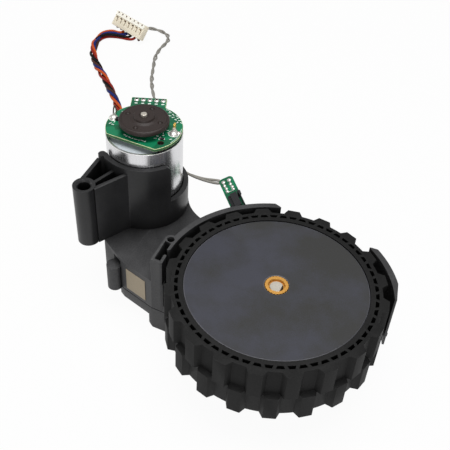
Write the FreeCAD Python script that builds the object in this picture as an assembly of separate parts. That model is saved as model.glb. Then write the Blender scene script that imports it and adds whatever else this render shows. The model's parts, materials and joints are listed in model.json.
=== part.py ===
import FreeCAD, Part
import math
import os

# Drive wheel module of a robot vacuum cleaner: a wheel with a lugged rubber tyre on a
# geared swing arm. Millimetres. The origin is on the axis of the suspension bore, at the
# tube's lower face, +X points at the wheel's axle and +Z runs along both axles.

# Wheel and tyre
WHEEL_X = 64.3            # suspension bore to wheel axle
TYRE_TOP = 10.5
TYRE_BOTTOM = -8.5
ROW_SPLIT = 0.9           # where the upper row of lugs meets the lower row
LUG_COUNT = 20
LUG_TIP_R = 32.7
TREAD_ROOT_R = 30.8
LUG_BASE_DEG = 12.0
LUG_TIP_DEG = 6.6
LUG_START_DEG = 30.35     # where the first upper lug stands
SLOT_COUNT = 60
SLOT_OUTER_R = 29.75
SLOT_INNER_R = 28.7
SLOT_WIDE_DEG = 2.45      # half widths of a slot at its wide and narrow side
SLOT_NARROW_DEG = 1.6
RIM_OUTER_R = 27.2        # seat of the tyre on the rim
RIM_WALL = 1.7
RIM_TOP = 8.4
RIM_BOTTOM = -7.9
RIM_WEB_TOP = 1.6
RIM_WEB_BOTTOM = -0.4
RIM_HUB_R = 6.4
HUB_BOTTOM = -1.9
RIM_RIBS = 6
RIM_RIB_THICK = 1.2
CAP_R = 27.15
CAP_TOP = 10.27
CAP_SKIRT_THICK = 1.0
CAP_SKIRT_DEPTH = 2.2
INSERT_R = 3.57
INSERT_BODY_R = 3.3
INSERT_BOTTOM = 2.6
INSERT_MOUTH_R = 2.45
INSERT_MOUTH_DEPTH = 1.3
SHAFT_R = 2.0
SHAFT_TOP = 9.7
SHAFT_FLAT = 1.45         # distance of the D flat from the shaft's axis
SHAFT_BOTTOM = -21.1

# Heights of the gearbox
HOUSING_TOP = 0.0
PARTING = -12.3
PARTING_GROOVE = 0.35     # height and depth of the groove along the joint
COVER_SHALLOW = -16.3
COVER_DEEP = -21.8
BASE_TOP = -9.6
BASE_BOTTOM = -11.1
WALL = 1.6
FLOOR = 1.5
STEP_X = 25.4             # where the cover drops to its deep part
RUN_GAP = 0.3             # clearance beside moving pieces
JOIN_GAP = 0.02           # clearance between fixed pieces that touch

# Side wall of the arm, as corners seen from above
ARM_END = (4.6, 1.8)
ARM_BEND = (14.8, -4.2)
ARM_CORNER = (26.6, -7.3)
ARM_WHEEL_SIDE = (31.2, -7.3)
ARM_BACK_Y = 24.95
ARM_BACK_X = 28.6
ARM_BACK_MID = (22.75, 28.1)
ARM_BACK_START_DEG = 34.0

# Wheel well, fender and the channel beside the wheel
WELL_R = 34.32
FENDER_R = 36.19
FENDER_TOP = 9.64
LEFT_FENDER_DEG = (109.6, 181.0)
RIGHT_FENDER_DEG = (18.8, 55.2)
FENDER_TIP_DEG = 3.0      # how far the outer corner of a fender end is cut back
FENDER_TAPER_DEG = 29.0   # where the right fender's outer side starts to run in
FENDER_TAPER_R = 34.95
PLATE_DEG = (24.0, 190.0)
CHANNEL_WALL = 0.9
CHANNEL_LIP_Y = -3.9
CHANNEL_BOSS = (28.1, 3.0)
CHANNEL_BOSS_R = 2.0
CHANNEL_BOSS_HOLE_R = 1.15
CHANNEL_BOSS_DEPTH = 8.0
TOWER_R = 7.6
TOWER_TOP = -2.2
BEARING_R = 4.5
BEARING_H = 3.2
MID_BEARING_BOTTOM = -12.5
BUSH_R = 3.4

# Gears: module and teeth from the output gear back to the motor
M_OUT, Z_OUT, Z_THIRD_SMALL = 0.8, 34, 12
M_THIRD, Z_THIRD_BIG, Z_SECOND_SMALL = 0.7, 36, 12
M_SECOND, Z_SECOND_BIG, Z_FIRST_SMALL = 0.6, 42, 14
M_FIRST, Z_FIRST_BIG, Z_MOTOR = 0.5, 48, 12
THIRD_DEG = 146.4         # direction from the wheel axle to the third gear
SECOND_DEG = 187.55       # from the third gear to the second
FIRST_DEG = 165.85        # from the second gear to the first
MOTOR_DEG = 124.9         # from the first gear to the motor
BACKLASH = 0.05           # taken off each side of a tooth
PIN_R = 1.0
PIN_FIT = 0.03
PIN_BOSS_R = 2.3
OUT_FACE = (-19.6, -17.1)
THIRD_BIG_FACE = (-16.8, -14.8)
SECOND_SMALL_FACE = (-18.9, -14.4)
SECOND_BIG_FACE = (-14.4, -12.3)
FIRST_SMALL_FACE = (-14.4, -8.8)
FIRST_BIG_FACE = (-8.8, -6.0)
MOTOR_PINION_FACE = (-9.3, -5.4)
OUT_HUB_R = 3.6

# Motor
CAN_R = 12.2
CAN_WALL = 0.9
CAN_BOTTOM = -1.58
CAN_LENGTH = 30.8
CAN_FRONT_THICK = 1.2
CAN_BOSS_R = 4.5
CAN_BOSS_H = 1.4
MOTOR_SHAFT_R = 1.0
MOTOR_SHAFT_TOP = 36.1
SEAT_PLATE = 1.5
MOTOR_SCREW_OFFSET = 8.5
MOTOR_SCREW_DEG = 30.0
MOTOR_SCREW_R = 1.25
MAGNET_R = 9.5
MAGNET_FACE = (4.0, 23.0)
MAGNET_DEG = 130.0
ARMATURE_R = 9.1
ARMATURE_FACE = (6.0, 20.0)
ARMATURE_POLES = 5
COMMUTATOR_R = 3.3
END_PLATE_FACE = (26.7, 28.35)
BRUSH_FACE = (23.2, 25.8)
SPACER_FACE = (28.35, 30.16)
SPACER_DEG = (-38.0, 218.0)

# Encoder board and disc on the motor's free end
BOARD_R = 12.14
BOARD_TOP = 31.16
BOARD_THICK = 1.0
BOARD_FLAT = 8.7
BOARD_HOLE_R = 3.2
TAB_DEG = 113.0
TAB_REACH = 15.8
TAB_HALF = 5.75
PAD_REACH = 14.3
PAD_PITCH = 2.0
PAD_R = 0.72
DISC_R = 8.0
DISC_TOP = 34.05
DISC_THICK = 1.9
DISC_FLANGE = 1.3         # height of the disc's full width, under its flat top
DISC_STEP_R = 7.3
HUB_STEPS = ((3.9, 34.5), (2.6, 35.15))
TERMINAL_SPOTS = ((10.65, 181.0), (9.7, 12.0))
TERMINAL_R = 0.5

# Bracket round the motor with the suspension tube
TUBE_R = 3.5
TUBE_TOP = 22.55
BORE_R = 2.0
BORE_CHAMFER = 0.55
RING_R = 14.1
RING_CLEAR = 0.3
RING_TOP = 24.4
RING_LOW = 9.8
RING_TALL_DEG = (-131.0, -26.0)
NOTCH_CORNER = 1.8        # round top corner where the tall wall ends
WEB_THICK = 1.3
WEB_TOP = 22.3
MID_RIB_THICK = 1.0
MID_RIB_TOP = 21.6
FRONT_WEB_DEG = -84.0
MID_RIB_DEG = -106.0
LEFT_WEB_DEG = -131.0
LEFT_WEB = ((-2.05, 2.3), (-2.3, 6.4), (-2.55, 9.8), (-2.75, 13.2))
BRACKET_PEGS_DEG = (-115.0, -50.0, 30.0, 110.0, 190.0)
BRACKET_PEG_DEPTH = 1.3
BRACKET_PEG_RADIUS = 13.3

# Screws that hold the cover, one in a column beside the arm
COLUMN_R = 2.4
COLUMN_TOP = -3.5
RECESS_TOP = -1.2         # top of the hollow over the front column
EAR_THICK = 1.1
SCREW_R = 0.9
SCREW_HEAD_R = 1.75
SCREW_LENGTH = 6.0
FRONT_COLUMN = (11.0, -3.45)
NEAR_COLUMN = (45.0, -13.4)
REAR_COLUMN = (34.0, 26.6)
AXLE_COLUMNS_DEG = (-55.0, 58.0)
MOTOR_COLUMN_DEG = 166.0

# Wire guide behind the motor and the wheel-drop switch on its board
GUIDE_R = 17.6
GUIDE_DEG = (70.0, 97.0)
GUIDE_THICK = 2.0
SWITCH_END = (28.13, 42.73)
SWITCH_DEG = 132.0
SWITCH_ROLL = 20.0        # the board's wheel side is the higher one
SWITCH_BOARD = (18.5, 5.0, 1.0)
SWITCH_BOARD_TOP = 4.85
BOARD_CORNER_R = 1.4
SWITCH_BODY = (6.5, 3.3, 1.0)
SWITCH_CROWN = (6.5, 2.3, 1.8)
SWITCH_BODY_AT = 10.0     # from the board's outer end
SWITCH_BODY_SIDE = -0.3   # body's offset to the lever side
LEVER_THICK = 0.35
LEVER_LENGTH = 6.4
LEVER_HEIGHT = 1.7
LEVER_GAP = 0.65
PIVOT_INSET = 0.8
PIVOT_R = 0.3
EYE_R = 0.62
SHELF_LENGTH = 9.5
SHELF_THICK = 1.6
SHELF_ROOT = 2.2
SHELF_RIB = 1.4
PEG_R = 0.55
PEG_INSET = 1.3
PEG_SIDE = 1.5

# Patch on the arm's front wall
PATCH_SPAN = (1.4, 9.6)
PATCH_HEIGHTS = (-10.9, -2.1)
PATCH_THICK = 0.12

# Wires and connector, lying on the surface that the cover stands on
BUNDLE_R = 2.1
PAIR_R = 1.2
CONNECTOR_CENTRE = (-74.0, 148.0)   # middle of the face where the wires enter
CONNECTOR_DEG = -19.2
CONNECTOR_PITCH = 2.5
CONNECTOR_WAYS = 7
CONNECTOR_ENDS = 2.4      # plastic beyond the outer contacts
CONNECTOR_DEPTH = 9.8
CONNECTOR_HEIGHT = 5.75
CONNECTOR_LIFT = 2.5      # it rests on the pair that passes beneath it
WIRE_ENTRY = 3.9          # height of the wires above the connector's lower face
WIRE_HOLE_R = 0.8
CONTACT = (1.1, 6.4, 0.9)
WINDOW = (1.3, 2.2)       # opening over each contact
WINDOW_AT = 4.6           # from the wire face
BUNDLE_POINTS = [
    (1.5, 38.4, 29.98),
    (1.1, 39.2, 17.0),
    (0.2, 41.0, 2.5),
    (-3.0, 44.8, -11.0),
    (-10.0, 53.5, -18.9),
    (-19.5, 61.5, -19.7),
    (-31.0, 77.5, -19.7),
    (-45.5, 92.5, -19.7),
    (-60.5, 107.5, -19.7),
    (-74.0, 118.8, -19.7),
    (-81.0, 129.5, -19.2),
    (-79.32, 140.32, -16.4),
    (-76.44, 148.58, -15.43),
]
PAIR_POINTS = [
    (-68.1, 145.94, -15.4),
    (-69.81, 141.03, -15.4),
    (-69.81, 141.03, -20.6),
    (-67.18, 148.58, -20.6),
    (-63.3, 156.5, -20.6),
    (-57.4, 159.1, -20.6),
    (-51.1, 157.6, -20.6),
    (-46.9, 152.6, -20.6),
    (-45.5, 143.0, -20.6),
    (-46.8, 131.0, -20.6),
    (-43.3, 119.0, -20.6),
    (-36.5, 108.0, -20.6),
    (-25.5, 95.5, -20.6),
    (-16.5, 81.5, -20.6),
    (-7.0, 70.0, -20.6),
    (0.0, 59.5, -20.6),
    (4.6, 50.5, -18.0),
    (7.0, 45.8, -9.0),
    (9.6, 43.3, 1.4),
    (19.9, 40.3, 2.6),
    (25.5, 40.84, 3.5),
]

os.makedirs("parts", exist_ok=True)


def vec(x, y, z=0.0):
    return FreeCAD.Vector(x, y, z)


def polar(centre, radius, degrees):
    angle = math.radians(degrees)
    return (centre[0] + radius * math.cos(angle), centre[1] + radius * math.sin(angle))


def cyl(centre, radius, low, high):
    return Part.makeCylinder(radius, high - low, vec(centre[0], centre[1], low))


def ring(centre, outer, inner, low, high):
    return cyl(centre, outer, low, high).cut(cyl(centre, inner, low - 1, high + 1))


def wedge(centre, radius, start, end, low, high):
    """A slice of a disc between two directions in degrees."""
    slice_ = Part.makeCylinder(radius, high - low, vec(0, 0, low), vec(0, 0, 1), end - start)
    slice_.rotate(vec(0, 0), vec(0, 0, 1), start)
    slice_.translate(vec(centre[0], centre[1]))
    return slice_


def arc_wall(centre, outer, inner, start, end, low, high):
    return wedge(centre, outer, start, end, low, high).cut(cyl(centre, inner, low - 1, high + 1))


def prism(points, low, high):
    corners = [vec(x, y, low) for x, y in points]
    face = Part.Face(Part.makePolygon(corners + corners[:1]))
    return face.extrude(vec(0, 0, high - low))


def bar(start, end, thick, low, high):
    """An upright wall of one thickness along a line seen from above."""
    dx = end[0] - start[0]
    dy = end[1] - start[1]
    length = math.hypot(dx, dy)
    sx = -dy / length * thick / 2
    sy = dx / length * thick / 2
    corners = [(start[0] + sx, start[1] + sy), (start[0] - sx, start[1] - sy),
               (end[0] - sx, end[1] - sy), (end[0] + sx, end[1] + sy)]
    return prism(corners, low, high)


def box_at(corner, direction, length, width, low, high):
    """A block with one corner line through a point, turned about Z."""
    block = Part.makeBox(length, width, high - low, vec(0, -width / 2, low))
    block.rotate(vec(0, 0), vec(0, 0, 1), direction)
    block.translate(vec(corner[0], corner[1]))
    return block


def fuse(shapes):
    return shapes[0].multiFuse(shapes[1:]).removeSplitter()


def save(name, shape):
    if not shape.isValid():
        print("invalid", name)
    shape.exportStep("parts/" + name + ".step")
    print(name, len(shape.Solids), round(shape.Volume, 1))


def involute(angle):
    return math.tan(angle) - angle


def half_tooth(module, teeth, radius):
    """Half the angle of a tooth of 20 degree pressure angle at a radius."""
    pressure = math.radians(20)
    pitch_r = module * teeth / 2
    base_r = pitch_r * math.cos(pressure)
    at_radius = math.acos(min(1.0, base_r / radius))
    spread = math.pi / (2 * teeth) - BACKLASH / pitch_r
    return spread + involute(pressure) - involute(at_radius)


def gear(module, teeth, centre, face, phase):
    pitch_r = module * teeth / 2
    radii = (pitch_r - 1.2 * module, pitch_r, pitch_r + 0.95 * module)
    points = []
    for tooth in range(teeth):
        middle = phase + 2 * math.pi * tooth / teeth
        for radius in radii:
            angle = middle - half_tooth(module, teeth, radius)
            points.append((centre[0] + radius * math.cos(angle), centre[1] + radius * math.sin(angle)))
        for radius in reversed(radii):
            angle = middle + half_tooth(module, teeth, radius)
            points.append((centre[0] + radius * math.cos(angle), centre[1] + radius * math.sin(angle)))
    return prism(points, face[0], face[1])


def mesh_phase(centre_a, centre_b, teeth_b):
    """Phase of gear b whose gap faces a tooth of gear a on the line of centres."""
    line = math.atan2(centre_b[1] - centre_a[1], centre_b[0] - centre_a[0])
    return line + math.pi + math.pi / teeth_b


def line_phase(centre_a, centre_b):
    return math.atan2(centre_b[1] - centre_a[1], centre_b[0] - centre_a[0])


# Gear centres, from the wheel axle back to the motor
AXLE = (WHEEL_X, 0.0)
THIRD = polar(AXLE, M_OUT * (Z_OUT + Z_THIRD_SMALL) / 2, THIRD_DEG)
SECOND = polar(THIRD, M_THIRD * (Z_THIRD_BIG + Z_SECOND_SMALL) / 2, SECOND_DEG)
FIRST = polar(SECOND, M_SECOND * (Z_SECOND_BIG + Z_FIRST_SMALL) / 2, FIRST_DEG)
MOTOR = polar(FIRST, M_FIRST * (Z_FIRST_BIG + Z_MOTOR) / 2, MOTOR_DEG)
print("third", THIRD, "second", SECOND, "first", FIRST, "motor", MOTOR)

AXLE_CASE_R = M_OUT * (Z_OUT + 2) / 2 + RUN_GAP + WALL + 0.3
THIRD_CASE_R = M_THIRD * (Z_THIRD_BIG + 2) / 2 + RUN_GAP + WALL + 0.3
MOTOR_CASE_R = RING_R + 0.2

COLUMNS = [FRONT_COLUMN, NEAR_COLUMN, REAR_COLUMN]
COLUMNS += [polar(AXLE, AXLE_CASE_R + 1.4, degrees) for degrees in AXLE_COLUMNS_DEG]
COLUMNS.append(polar(MOTOR, MOTOR_CASE_R + 1.4, MOTOR_COLUMN_DEG))


def arm_outline():
    """The arm seen from above, as one flat face."""
    start = polar(MOTOR, MOTOR_CASE_R, ARM_BACK_START_DEG)
    curve = Part.Arc(vec(ARM_BACK_X, ARM_BACK_Y), vec(*ARM_BACK_MID), vec(*start)).toShape()
    lower_tangent = polar(AXLE, AXLE_CASE_R, -106)
    upper_tangent = polar(THIRD, THIRD_CASE_R, 97)
    end_side = polar(MOTOR, MOTOR_CASE_R, 212)
    corners = [start, MOTOR, end_side, ARM_END, ARM_BEND, ARM_CORNER, ARM_WHEEL_SIDE]
    corners += [lower_tangent, AXLE, THIRD, upper_tangent, (ARM_BACK_X, ARM_BACK_Y)]
    edges = [Part.makeLine(vec(*a), vec(*b)) for a, b in zip(corners, corners[1:])]
    middle = Part.Face(Part.Wire(edges + [curve]))
    discs = []
    for centre, radius in ((MOTOR, MOTOR_CASE_R), (AXLE, AXLE_CASE_R), (THIRD, THIRD_CASE_R)):
        circle = Part.makeCircle(radius, vec(*centre))
        discs.append(Part.Face(Part.Wire(circle)))
    return middle.multiFuse(discs).removeSplitter().Faces[0]


OUTLINE = arm_outline()
INSIDE = OUTLINE.makeOffset2D(-WALL).Faces[0]


def outline_prism(face, low, high):
    moved = face.copy()
    moved.translate(vec(0, 0, low))
    return moved.extrude(vec(0, 0, high - low))


def fender(span, outer_cut_end):
    """A curved wall behind the wheel, one end cut back along its outer side."""
    wall = arc_wall(AXLE, FENDER_R, WELL_R, span[0], span[1], BASE_BOTTOM, FENDER_TOP)
    if outer_cut_end == "first":
        tip, back = span[0], span[0] + FENDER_TIP_DEG
    else:
        tip, back = span[1], span[1] - FENDER_TIP_DEG
    a = polar(AXLE, WELL_R + 0.35, tip)
    b = polar(AXLE, FENDER_R + 0.01, back)
    c = polar(AXLE, FENDER_R + 2, back)
    d = polar(AXLE, FENDER_R + 2, tip - (back - tip) / 3)
    e = polar(AXLE, WELL_R + 0.35, tip - (back - tip) / 3)
    return wall.cut(prism([a, b, c, d, e], BASE_BOTTOM - 1, FENDER_TOP + 1))


def rolled(shape):
    """Leans a piece of the switch about the board's long centre line."""
    inward = math.radians(SWITCH_DEG + 180)
    axis = vec(math.cos(inward), math.sin(inward), 0)
    return shape.rotated(vec(SWITCH_END[0], SWITCH_END[1], SWITCH_BOARD_TOP), axis, SWITCH_ROLL)


def switch_point(along, side):
    """A point on the switch board, from its outer end and its centre line."""
    inward = SWITCH_DEG + 180
    spot = polar(SWITCH_END, along, inward)
    return polar(spot, side, inward + 90)


# Upper housing

def upper_housing():
    keep = cyl(AXLE, WELL_R, BASE_TOP, HOUSING_TOP + 1)
    block = outline_prism(OUTLINE, PARTING, HOUSING_TOP).cut(keep)
    plate = wedge(AXLE, FENDER_R, PLATE_DEG[0], PLATE_DEG[1], BASE_BOTTOM, BASE_TOP)
    left = fender(LEFT_FENDER_DEG, "first")
    right = fender(RIGHT_FENDER_DEG, "last")
    taper = [polar(AXLE, FENDER_R + 0.01, FENDER_TAPER_DEG), polar(AXLE, FENDER_TAPER_R, RIGHT_FENDER_DEG[0]),
             polar(AXLE, FENDER_TAPER_R, RIGHT_FENDER_DEG[0] - 4), polar(AXLE, FENDER_R + 4, RIGHT_FENDER_DEG[0] - 4),
             polar(AXLE, FENDER_R + 4, FENDER_TAPER_DEG)]
    right = right.cut(prism(taper, BASE_BOTTOM - 1, FENDER_TOP + 1))
    corner = ARM_CORNER
    inner_corner = (corner[0] + CHANNEL_WALL, corner[1] + CHANNEL_WALL)
    lip = polar(AXLE, WELL_R + CHANNEL_WALL / 2, 180 - math.degrees(math.asin(CHANNEL_LIP_Y / WELL_R)))
    lip_foot = (lip[0] + 0.35, corner[1] + CHANNEL_WALL / 2)
    outer_wall = bar((corner[0] + CHANNEL_WALL / 2, corner[1]),
                     (CHANNEL_BOSS[0] - 1.5, CHANNEL_BOSS[1]), CHANNEL_WALL, PARTING, FENDER_TOP)
    end_wall = bar((corner[0], corner[1] + CHANNEL_WALL / 2), lip_foot, CHANNEL_WALL, PARTING, FENDER_TOP)
    lip_wall = bar((lip_foot[0] - 0.1, corner[1]), lip, CHANNEL_WALL, PARTING, FENDER_TOP)
    lip_round = cyl(lip, CHANNEL_WALL / 2, PARTING, FENDER_TOP)
    boss = cyl(CHANNEL_BOSS, CHANNEL_BOSS_R, PARTING, FENDER_TOP)
    arc_end = polar(AXLE, (WELL_R + FENDER_R) / 2, LEFT_FENDER_DEG[1])
    end_round = cyl(arc_end, (FENDER_R - WELL_R) / 2, BASE_BOTTOM, FENDER_TOP)
    tower = cyl(AXLE, TOWER_R, BASE_BOTTOM, TOWER_TOP)
    solids = [block, plate, left, right, outer_wall, end_wall, lip_wall, lip_round, boss, end_round, tower]

    # screw columns beside the arm, and the guide that the switch wires lie on
    for spot in COLUMNS:
        top = COLUMN_TOP
        if math.dist(spot, AXLE) < FENDER_R:
            top = BASE_BOTTOM + 0.5
        solids.append(cyl(spot, COLUMN_R, PARTING, top))
    solids.append(arc_wall(MOTOR, GUIDE_R, RING_R - 1, GUIDE_DEG[0], GUIDE_DEG[1],
                           HOUSING_TOP - GUIDE_THICK, HOUSING_TOP))

    # shelf and pegs for the switch board
    inner = switch_point(SWITCH_BOARD[0], 0)
    shelf_low = SWITCH_BOARD_TOP - SWITCH_BOARD[2] - SHELF_THICK
    shelf_width = SWITCH_BOARD[1] - 0.8
    shelf = box_at(inner, SWITCH_DEG, SHELF_LENGTH, shelf_width, shelf_low, shelf_low + SHELF_THICK)
    root = box_at(inner, SWITCH_DEG + 180, SHELF_ROOT, shelf_width, shelf_low, shelf_low + SHELF_THICK)
    rib_top = shelf_low + SHELF_THICK / 4
    gusset = box_at(inner, SWITCH_DEG, SHELF_LENGTH * 0.6, SHELF_RIB, BASE_BOTTOM, rib_top)
    foot = box_at(inner, SWITCH_DEG + 180, SHELF_ROOT, SHELF_RIB, BASE_BOTTOM, rib_top)
    solids += [rolled(shelf), rolled(root), gusset, foot]
    for side in (-PEG_SIDE, PEG_SIDE):
        spot = switch_point(SWITCH_BOARD[0] - PEG_INSET, side)
        solids.append(rolled(cyl(spot, PEG_R, shelf_low + 0.3, SWITCH_BOARD_TOP + 0.4)))
    body = fuse(solids)

    # the gear space: tall in the arm, low under the wheel
    well = cyl(AXLE, FENDER_R, PARTING - 1, HOUSING_TOP)
    channel_zone = Part.makeBox(40, 60, 40, vec(corner[0] - WALL, CHANNEL_BOSS[1] - 0.1 - 60, PARTING - 1))
    tall = outline_prism(INSIDE, PARTING - 1, HOUSING_TOP - WALL).cut(well).cut(channel_zone)
    low = outline_prism(INSIDE, PARTING - 1, BASE_BOTTOM)
    body = body.cut(tall).cut(low)

    # motor seat: a recess that centres the can, over a plate with its holes
    seat = cyl(MOTOR, MOTOR_CASE_R - 0.6, CAN_BOTTOM - SEAT_PLATE, HOUSING_TOP - 0.2)
    inserts = [seat.common(outline_prism(OUTLINE, PARTING, HOUSING_TOP))]
    inserts.append(cyl(FIRST, PIN_BOSS_R, FIRST_BIG_FACE[1] + RUN_GAP, HOUSING_TOP - 0.2))
    for centre, top in ((SECOND, SECOND_BIG_FACE[1]), (THIRD, THIRD_BIG_FACE[1])):
        inserts.append(cyl(centre, PIN_BOSS_R, top + RUN_GAP, BASE_BOTTOM + 0.1))
    inserts.append(cyl(AXLE, TOWER_R, MID_BEARING_BOTTOM, BASE_BOTTOM + 0.1))
    for spot in COLUMNS:
        inserts.append(cyl(spot, SCREW_R + 0.9, PARTING, PARTING + 1.4))
    body = fuse([body] + inserts)
    body = body.cut(cyl(MOTOR, CAN_R + 0.1, CAN_BOTTOM, HOUSING_TOP + 1))
    body = body.cut(cyl(MOTOR, CAN_BOSS_R + 0.1, PARTING, HOUSING_TOP))
    for turn in (0, 180):
        hole = polar(MOTOR, MOTOR_SCREW_OFFSET, MOTOR_SCREW_DEG + turn)
        body = body.cut(cyl(hole, MOTOR_SCREW_R + 0.15, CAN_BOTTOM - SEAT_PLATE - 1, HOUSING_TOP))

    # holes for the gear pins, the bearings, the cover screws and the bracket screws
    body = body.cut(cyl(FIRST, PIN_R + JOIN_GAP, PARTING, HOUSING_TOP - 1.0))
    for centre in (SECOND, THIRD):
        body = body.cut(cyl(centre, PIN_R + JOIN_GAP, COVER_DEEP, BASE_TOP - 0.6))
    body = body.cut(cyl(AXLE, SHAFT_R + 0.4, COVER_DEEP, TOWER_TOP + 1))
    body = body.cut(cyl(AXLE, BEARING_R + JOIN_GAP, TOWER_TOP - BEARING_H, TOWER_TOP + 1))
    body = body.cut(cyl(AXLE, BEARING_R + JOIN_GAP, COVER_DEEP, MID_BEARING_BOTTOM + BEARING_H))
    for spot in COLUMNS:
        depth = 6.0
        if math.dist(spot, AXLE) < FENDER_R:
            depth = 2.0
        body = body.cut(cyl(spot, SCREW_R, PARTING - 1, PARTING + depth))
    for degrees in BRACKET_PEGS_DEG:
        hole = polar(MOTOR, BRACKET_PEG_RADIUS, degrees)
        body = body.cut(cyl(hole, PEG_R + JOIN_GAP, HOUSING_TOP - BRACKET_PEG_DEPTH - 0.1, HOUSING_TOP + 1))

    # the hole in the channel's boss, the channel itself and the recess over the column
    body = body.cut(cyl(CHANNEL_BOSS, CHANNEL_BOSS_HOLE_R, FENDER_TOP - CHANNEL_BOSS_DEPTH, FENDER_TOP + 1))
    pocket = prism([inner_corner, (lip[0] - CHANNEL_WALL / 2, inner_corner[1]),
                    (lip[0] - CHANNEL_WALL / 2, CHANNEL_LIP_Y),
                    polar(AXLE, WELL_R + 0.9, 183.5),
                    (CHANNEL_BOSS[0] + 0.9, CHANNEL_BOSS[1] - 1.5),
                    (CHANNEL_BOSS[0] - 1.2, CHANNEL_BOSS[1] - 1.3)], BASE_TOP, FENDER_TOP + 1)
    body = body.cut(pocket)
    return body.cut(cyl(FRONT_COLUMN, COLUMN_R + 0.05, COLUMN_TOP, RECESS_TOP))


save("upper_housing", upper_housing())


# Lower cover

def lower_cover():
    split = Part.makeBox(200, 200, 60, vec(STEP_X, -100, -60))
    shell_low = outline_prism(OUTLINE, COVER_DEEP, PARTING).common(split)
    shell_high = outline_prism(OUTLINE, COVER_SHALLOW, PARTING)
    corner = [edge for edge in shell_low.Edges
              if edge.BoundBox.XMax < STEP_X + 0.01 and edge.BoundBox.ZMax < COVER_DEEP + 0.01]
    shell_low = shell_low.makeChamfer(1.4, corner)
    body = shell_high.fuse(shell_low).removeSplitter()
    inner_split = Part.makeBox(200, 200, 60, vec(STEP_X + WALL, -100, -60))
    hollow = outline_prism(INSIDE, COVER_SHALLOW + FLOOR, PARTING + 1)
    deep = outline_prism(INSIDE, COVER_DEEP + FLOOR, PARTING + 1).common(inner_split)
    body = body.cut(hollow).cut(deep)
    groove = outline_prism(OUTLINE, PARTING - PARTING_GROOVE, PARTING)
    groove_inner = OUTLINE.makeOffset2D(-PARTING_GROOVE).Faces[0]
    body = body.cut(groove.cut(outline_prism(groove_inner, PARTING - 1, PARTING + 1)))
    inserts = [cyl(FIRST, PIN_BOSS_R, COVER_SHALLOW + 0.5, FIRST_SMALL_FACE[0] - RUN_GAP)]
    inserts.append(cyl(SECOND, PIN_BOSS_R, COVER_DEEP + 0.5, SECOND_SMALL_FACE[0] - RUN_GAP))
    inserts.append(cyl(THIRD, PIN_BOSS_R, COVER_DEEP + 0.5, OUT_FACE[0] - RUN_GAP))
    inserts.append(cyl(AXLE, BUSH_R + 1.2, COVER_DEEP + 0.5, OUT_FACE[0] - RUN_GAP))
    for spot in COLUMNS:
        inserts.append(cyl(spot, COLUMN_R, PARTING - EAR_THICK, PARTING))
    body = fuse([body] + inserts)
    body = body.cut(cyl(FIRST, PIN_R + JOIN_GAP, COVER_SHALLOW + 0.7, PARTING))
    for centre in (SECOND, THIRD):
        body = body.cut(cyl(centre, PIN_R + JOIN_GAP, COVER_DEEP + 0.6, PARTING))
    body = body.cut(cyl(AXLE, BUSH_R + JOIN_GAP, COVER_DEEP + 0.6, PARTING))
    for spot in COLUMNS:
        body = body.cut(cyl(spot, SCREW_R + 0.1, PARTING - EAR_THICK - 1, PARTING + 1))
        cone = Part.makeCone(SCREW_HEAD_R + 0.1, SCREW_R, EAR_THICK * 0.8,
                             vec(spot[0], spot[1], PARTING - EAR_THICK))
        body = body.cut(cone)
        body = body.cut(cyl(spot, SCREW_HEAD_R + 0.1, PARTING - EAR_THICK - 12, PARTING - EAR_THICK))
    return body


save("lower_cover", lower_cover())


def cover_screws():
    screws = []
    for spot in COLUMNS:
        length = SCREW_LENGTH
        if math.dist(spot, AXLE) < FENDER_R:
            length = 3.0
        low = PARTING - EAR_THICK
        head = Part.makeCone(SCREW_HEAD_R, SCREW_R - 0.05, EAR_THICK * 0.75, vec(spot[0], spot[1], low))
        shank = cyl(spot, SCREW_R - JOIN_GAP, low + 0.3, low + length)
        slot = Part.makeBox(2.2, 0.5, 0.35, vec(spot[0] - 1.1, spot[1] - 0.25, low - 0.01))
        cross = Part.makeBox(0.5, 2.2, 0.35, vec(spot[0] - 0.25, spot[1] - 1.1, low - 0.01))
        screws.append(head.fuse(shank).removeSplitter().cut(slot).cut(cross))
    return Part.makeCompound(screws)


save("cover_screws", cover_screws())


# Bracket: a tall and a low wall round the motor, the suspension tube and the webs

def arc_band(degrees, radius):
    return polar(MOTOR, radius, degrees)


def curved_wall(spots, thick, low, high):
    """An upright wall of one thickness along a smooth curve through some spots."""
    sides = []
    for offset in (thick / 2, -thick / 2):
        points = []
        for index, spot in enumerate(spots):
            before = spots[max(index - 1, 0)]
            after = spots[min(index + 1, len(spots) - 1)]
            reach = math.dist(before, after)
            nx = -(after[1] - before[1]) / reach
            ny = (after[0] - before[0]) / reach
            points.append(vec(spot[0] + nx * offset, spot[1] + ny * offset, low))
        curve = Part.BSplineCurve()
        curve.interpolate(points)
        sides.append((curve.toShape(), points))
    first, second = sides
    ends = [Part.makeLine(first[1][0], second[1][0]), Part.makeLine(first[1][-1], second[1][-1])]
    loop = Part.Wire(Part.__sortEdges__([first[0], second[0]] + ends))
    return Part.Face(loop).extrude(vec(0, 0, high - low))


def notch_corner_cut():
    """What comes off the tall wall's end so that its top corner is round."""
    size = NOTCH_CORNER
    block = Part.makeBox(RING_R, size + 1, size + 1, vec(CAN_R - 2, -size, RING_TOP - size))
    rounding = Part.makeCylinder(size, RING_R + 2, vec(CAN_R - 3, -size, RING_TOP - size), vec(1, 0, 0))
    cut = block.cut(rounding)
    cut.rotate(vec(0, 0), vec(0, 0, 1), RING_TALL_DEG[1])
    cut.translate(vec(*MOTOR))
    return cut


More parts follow.
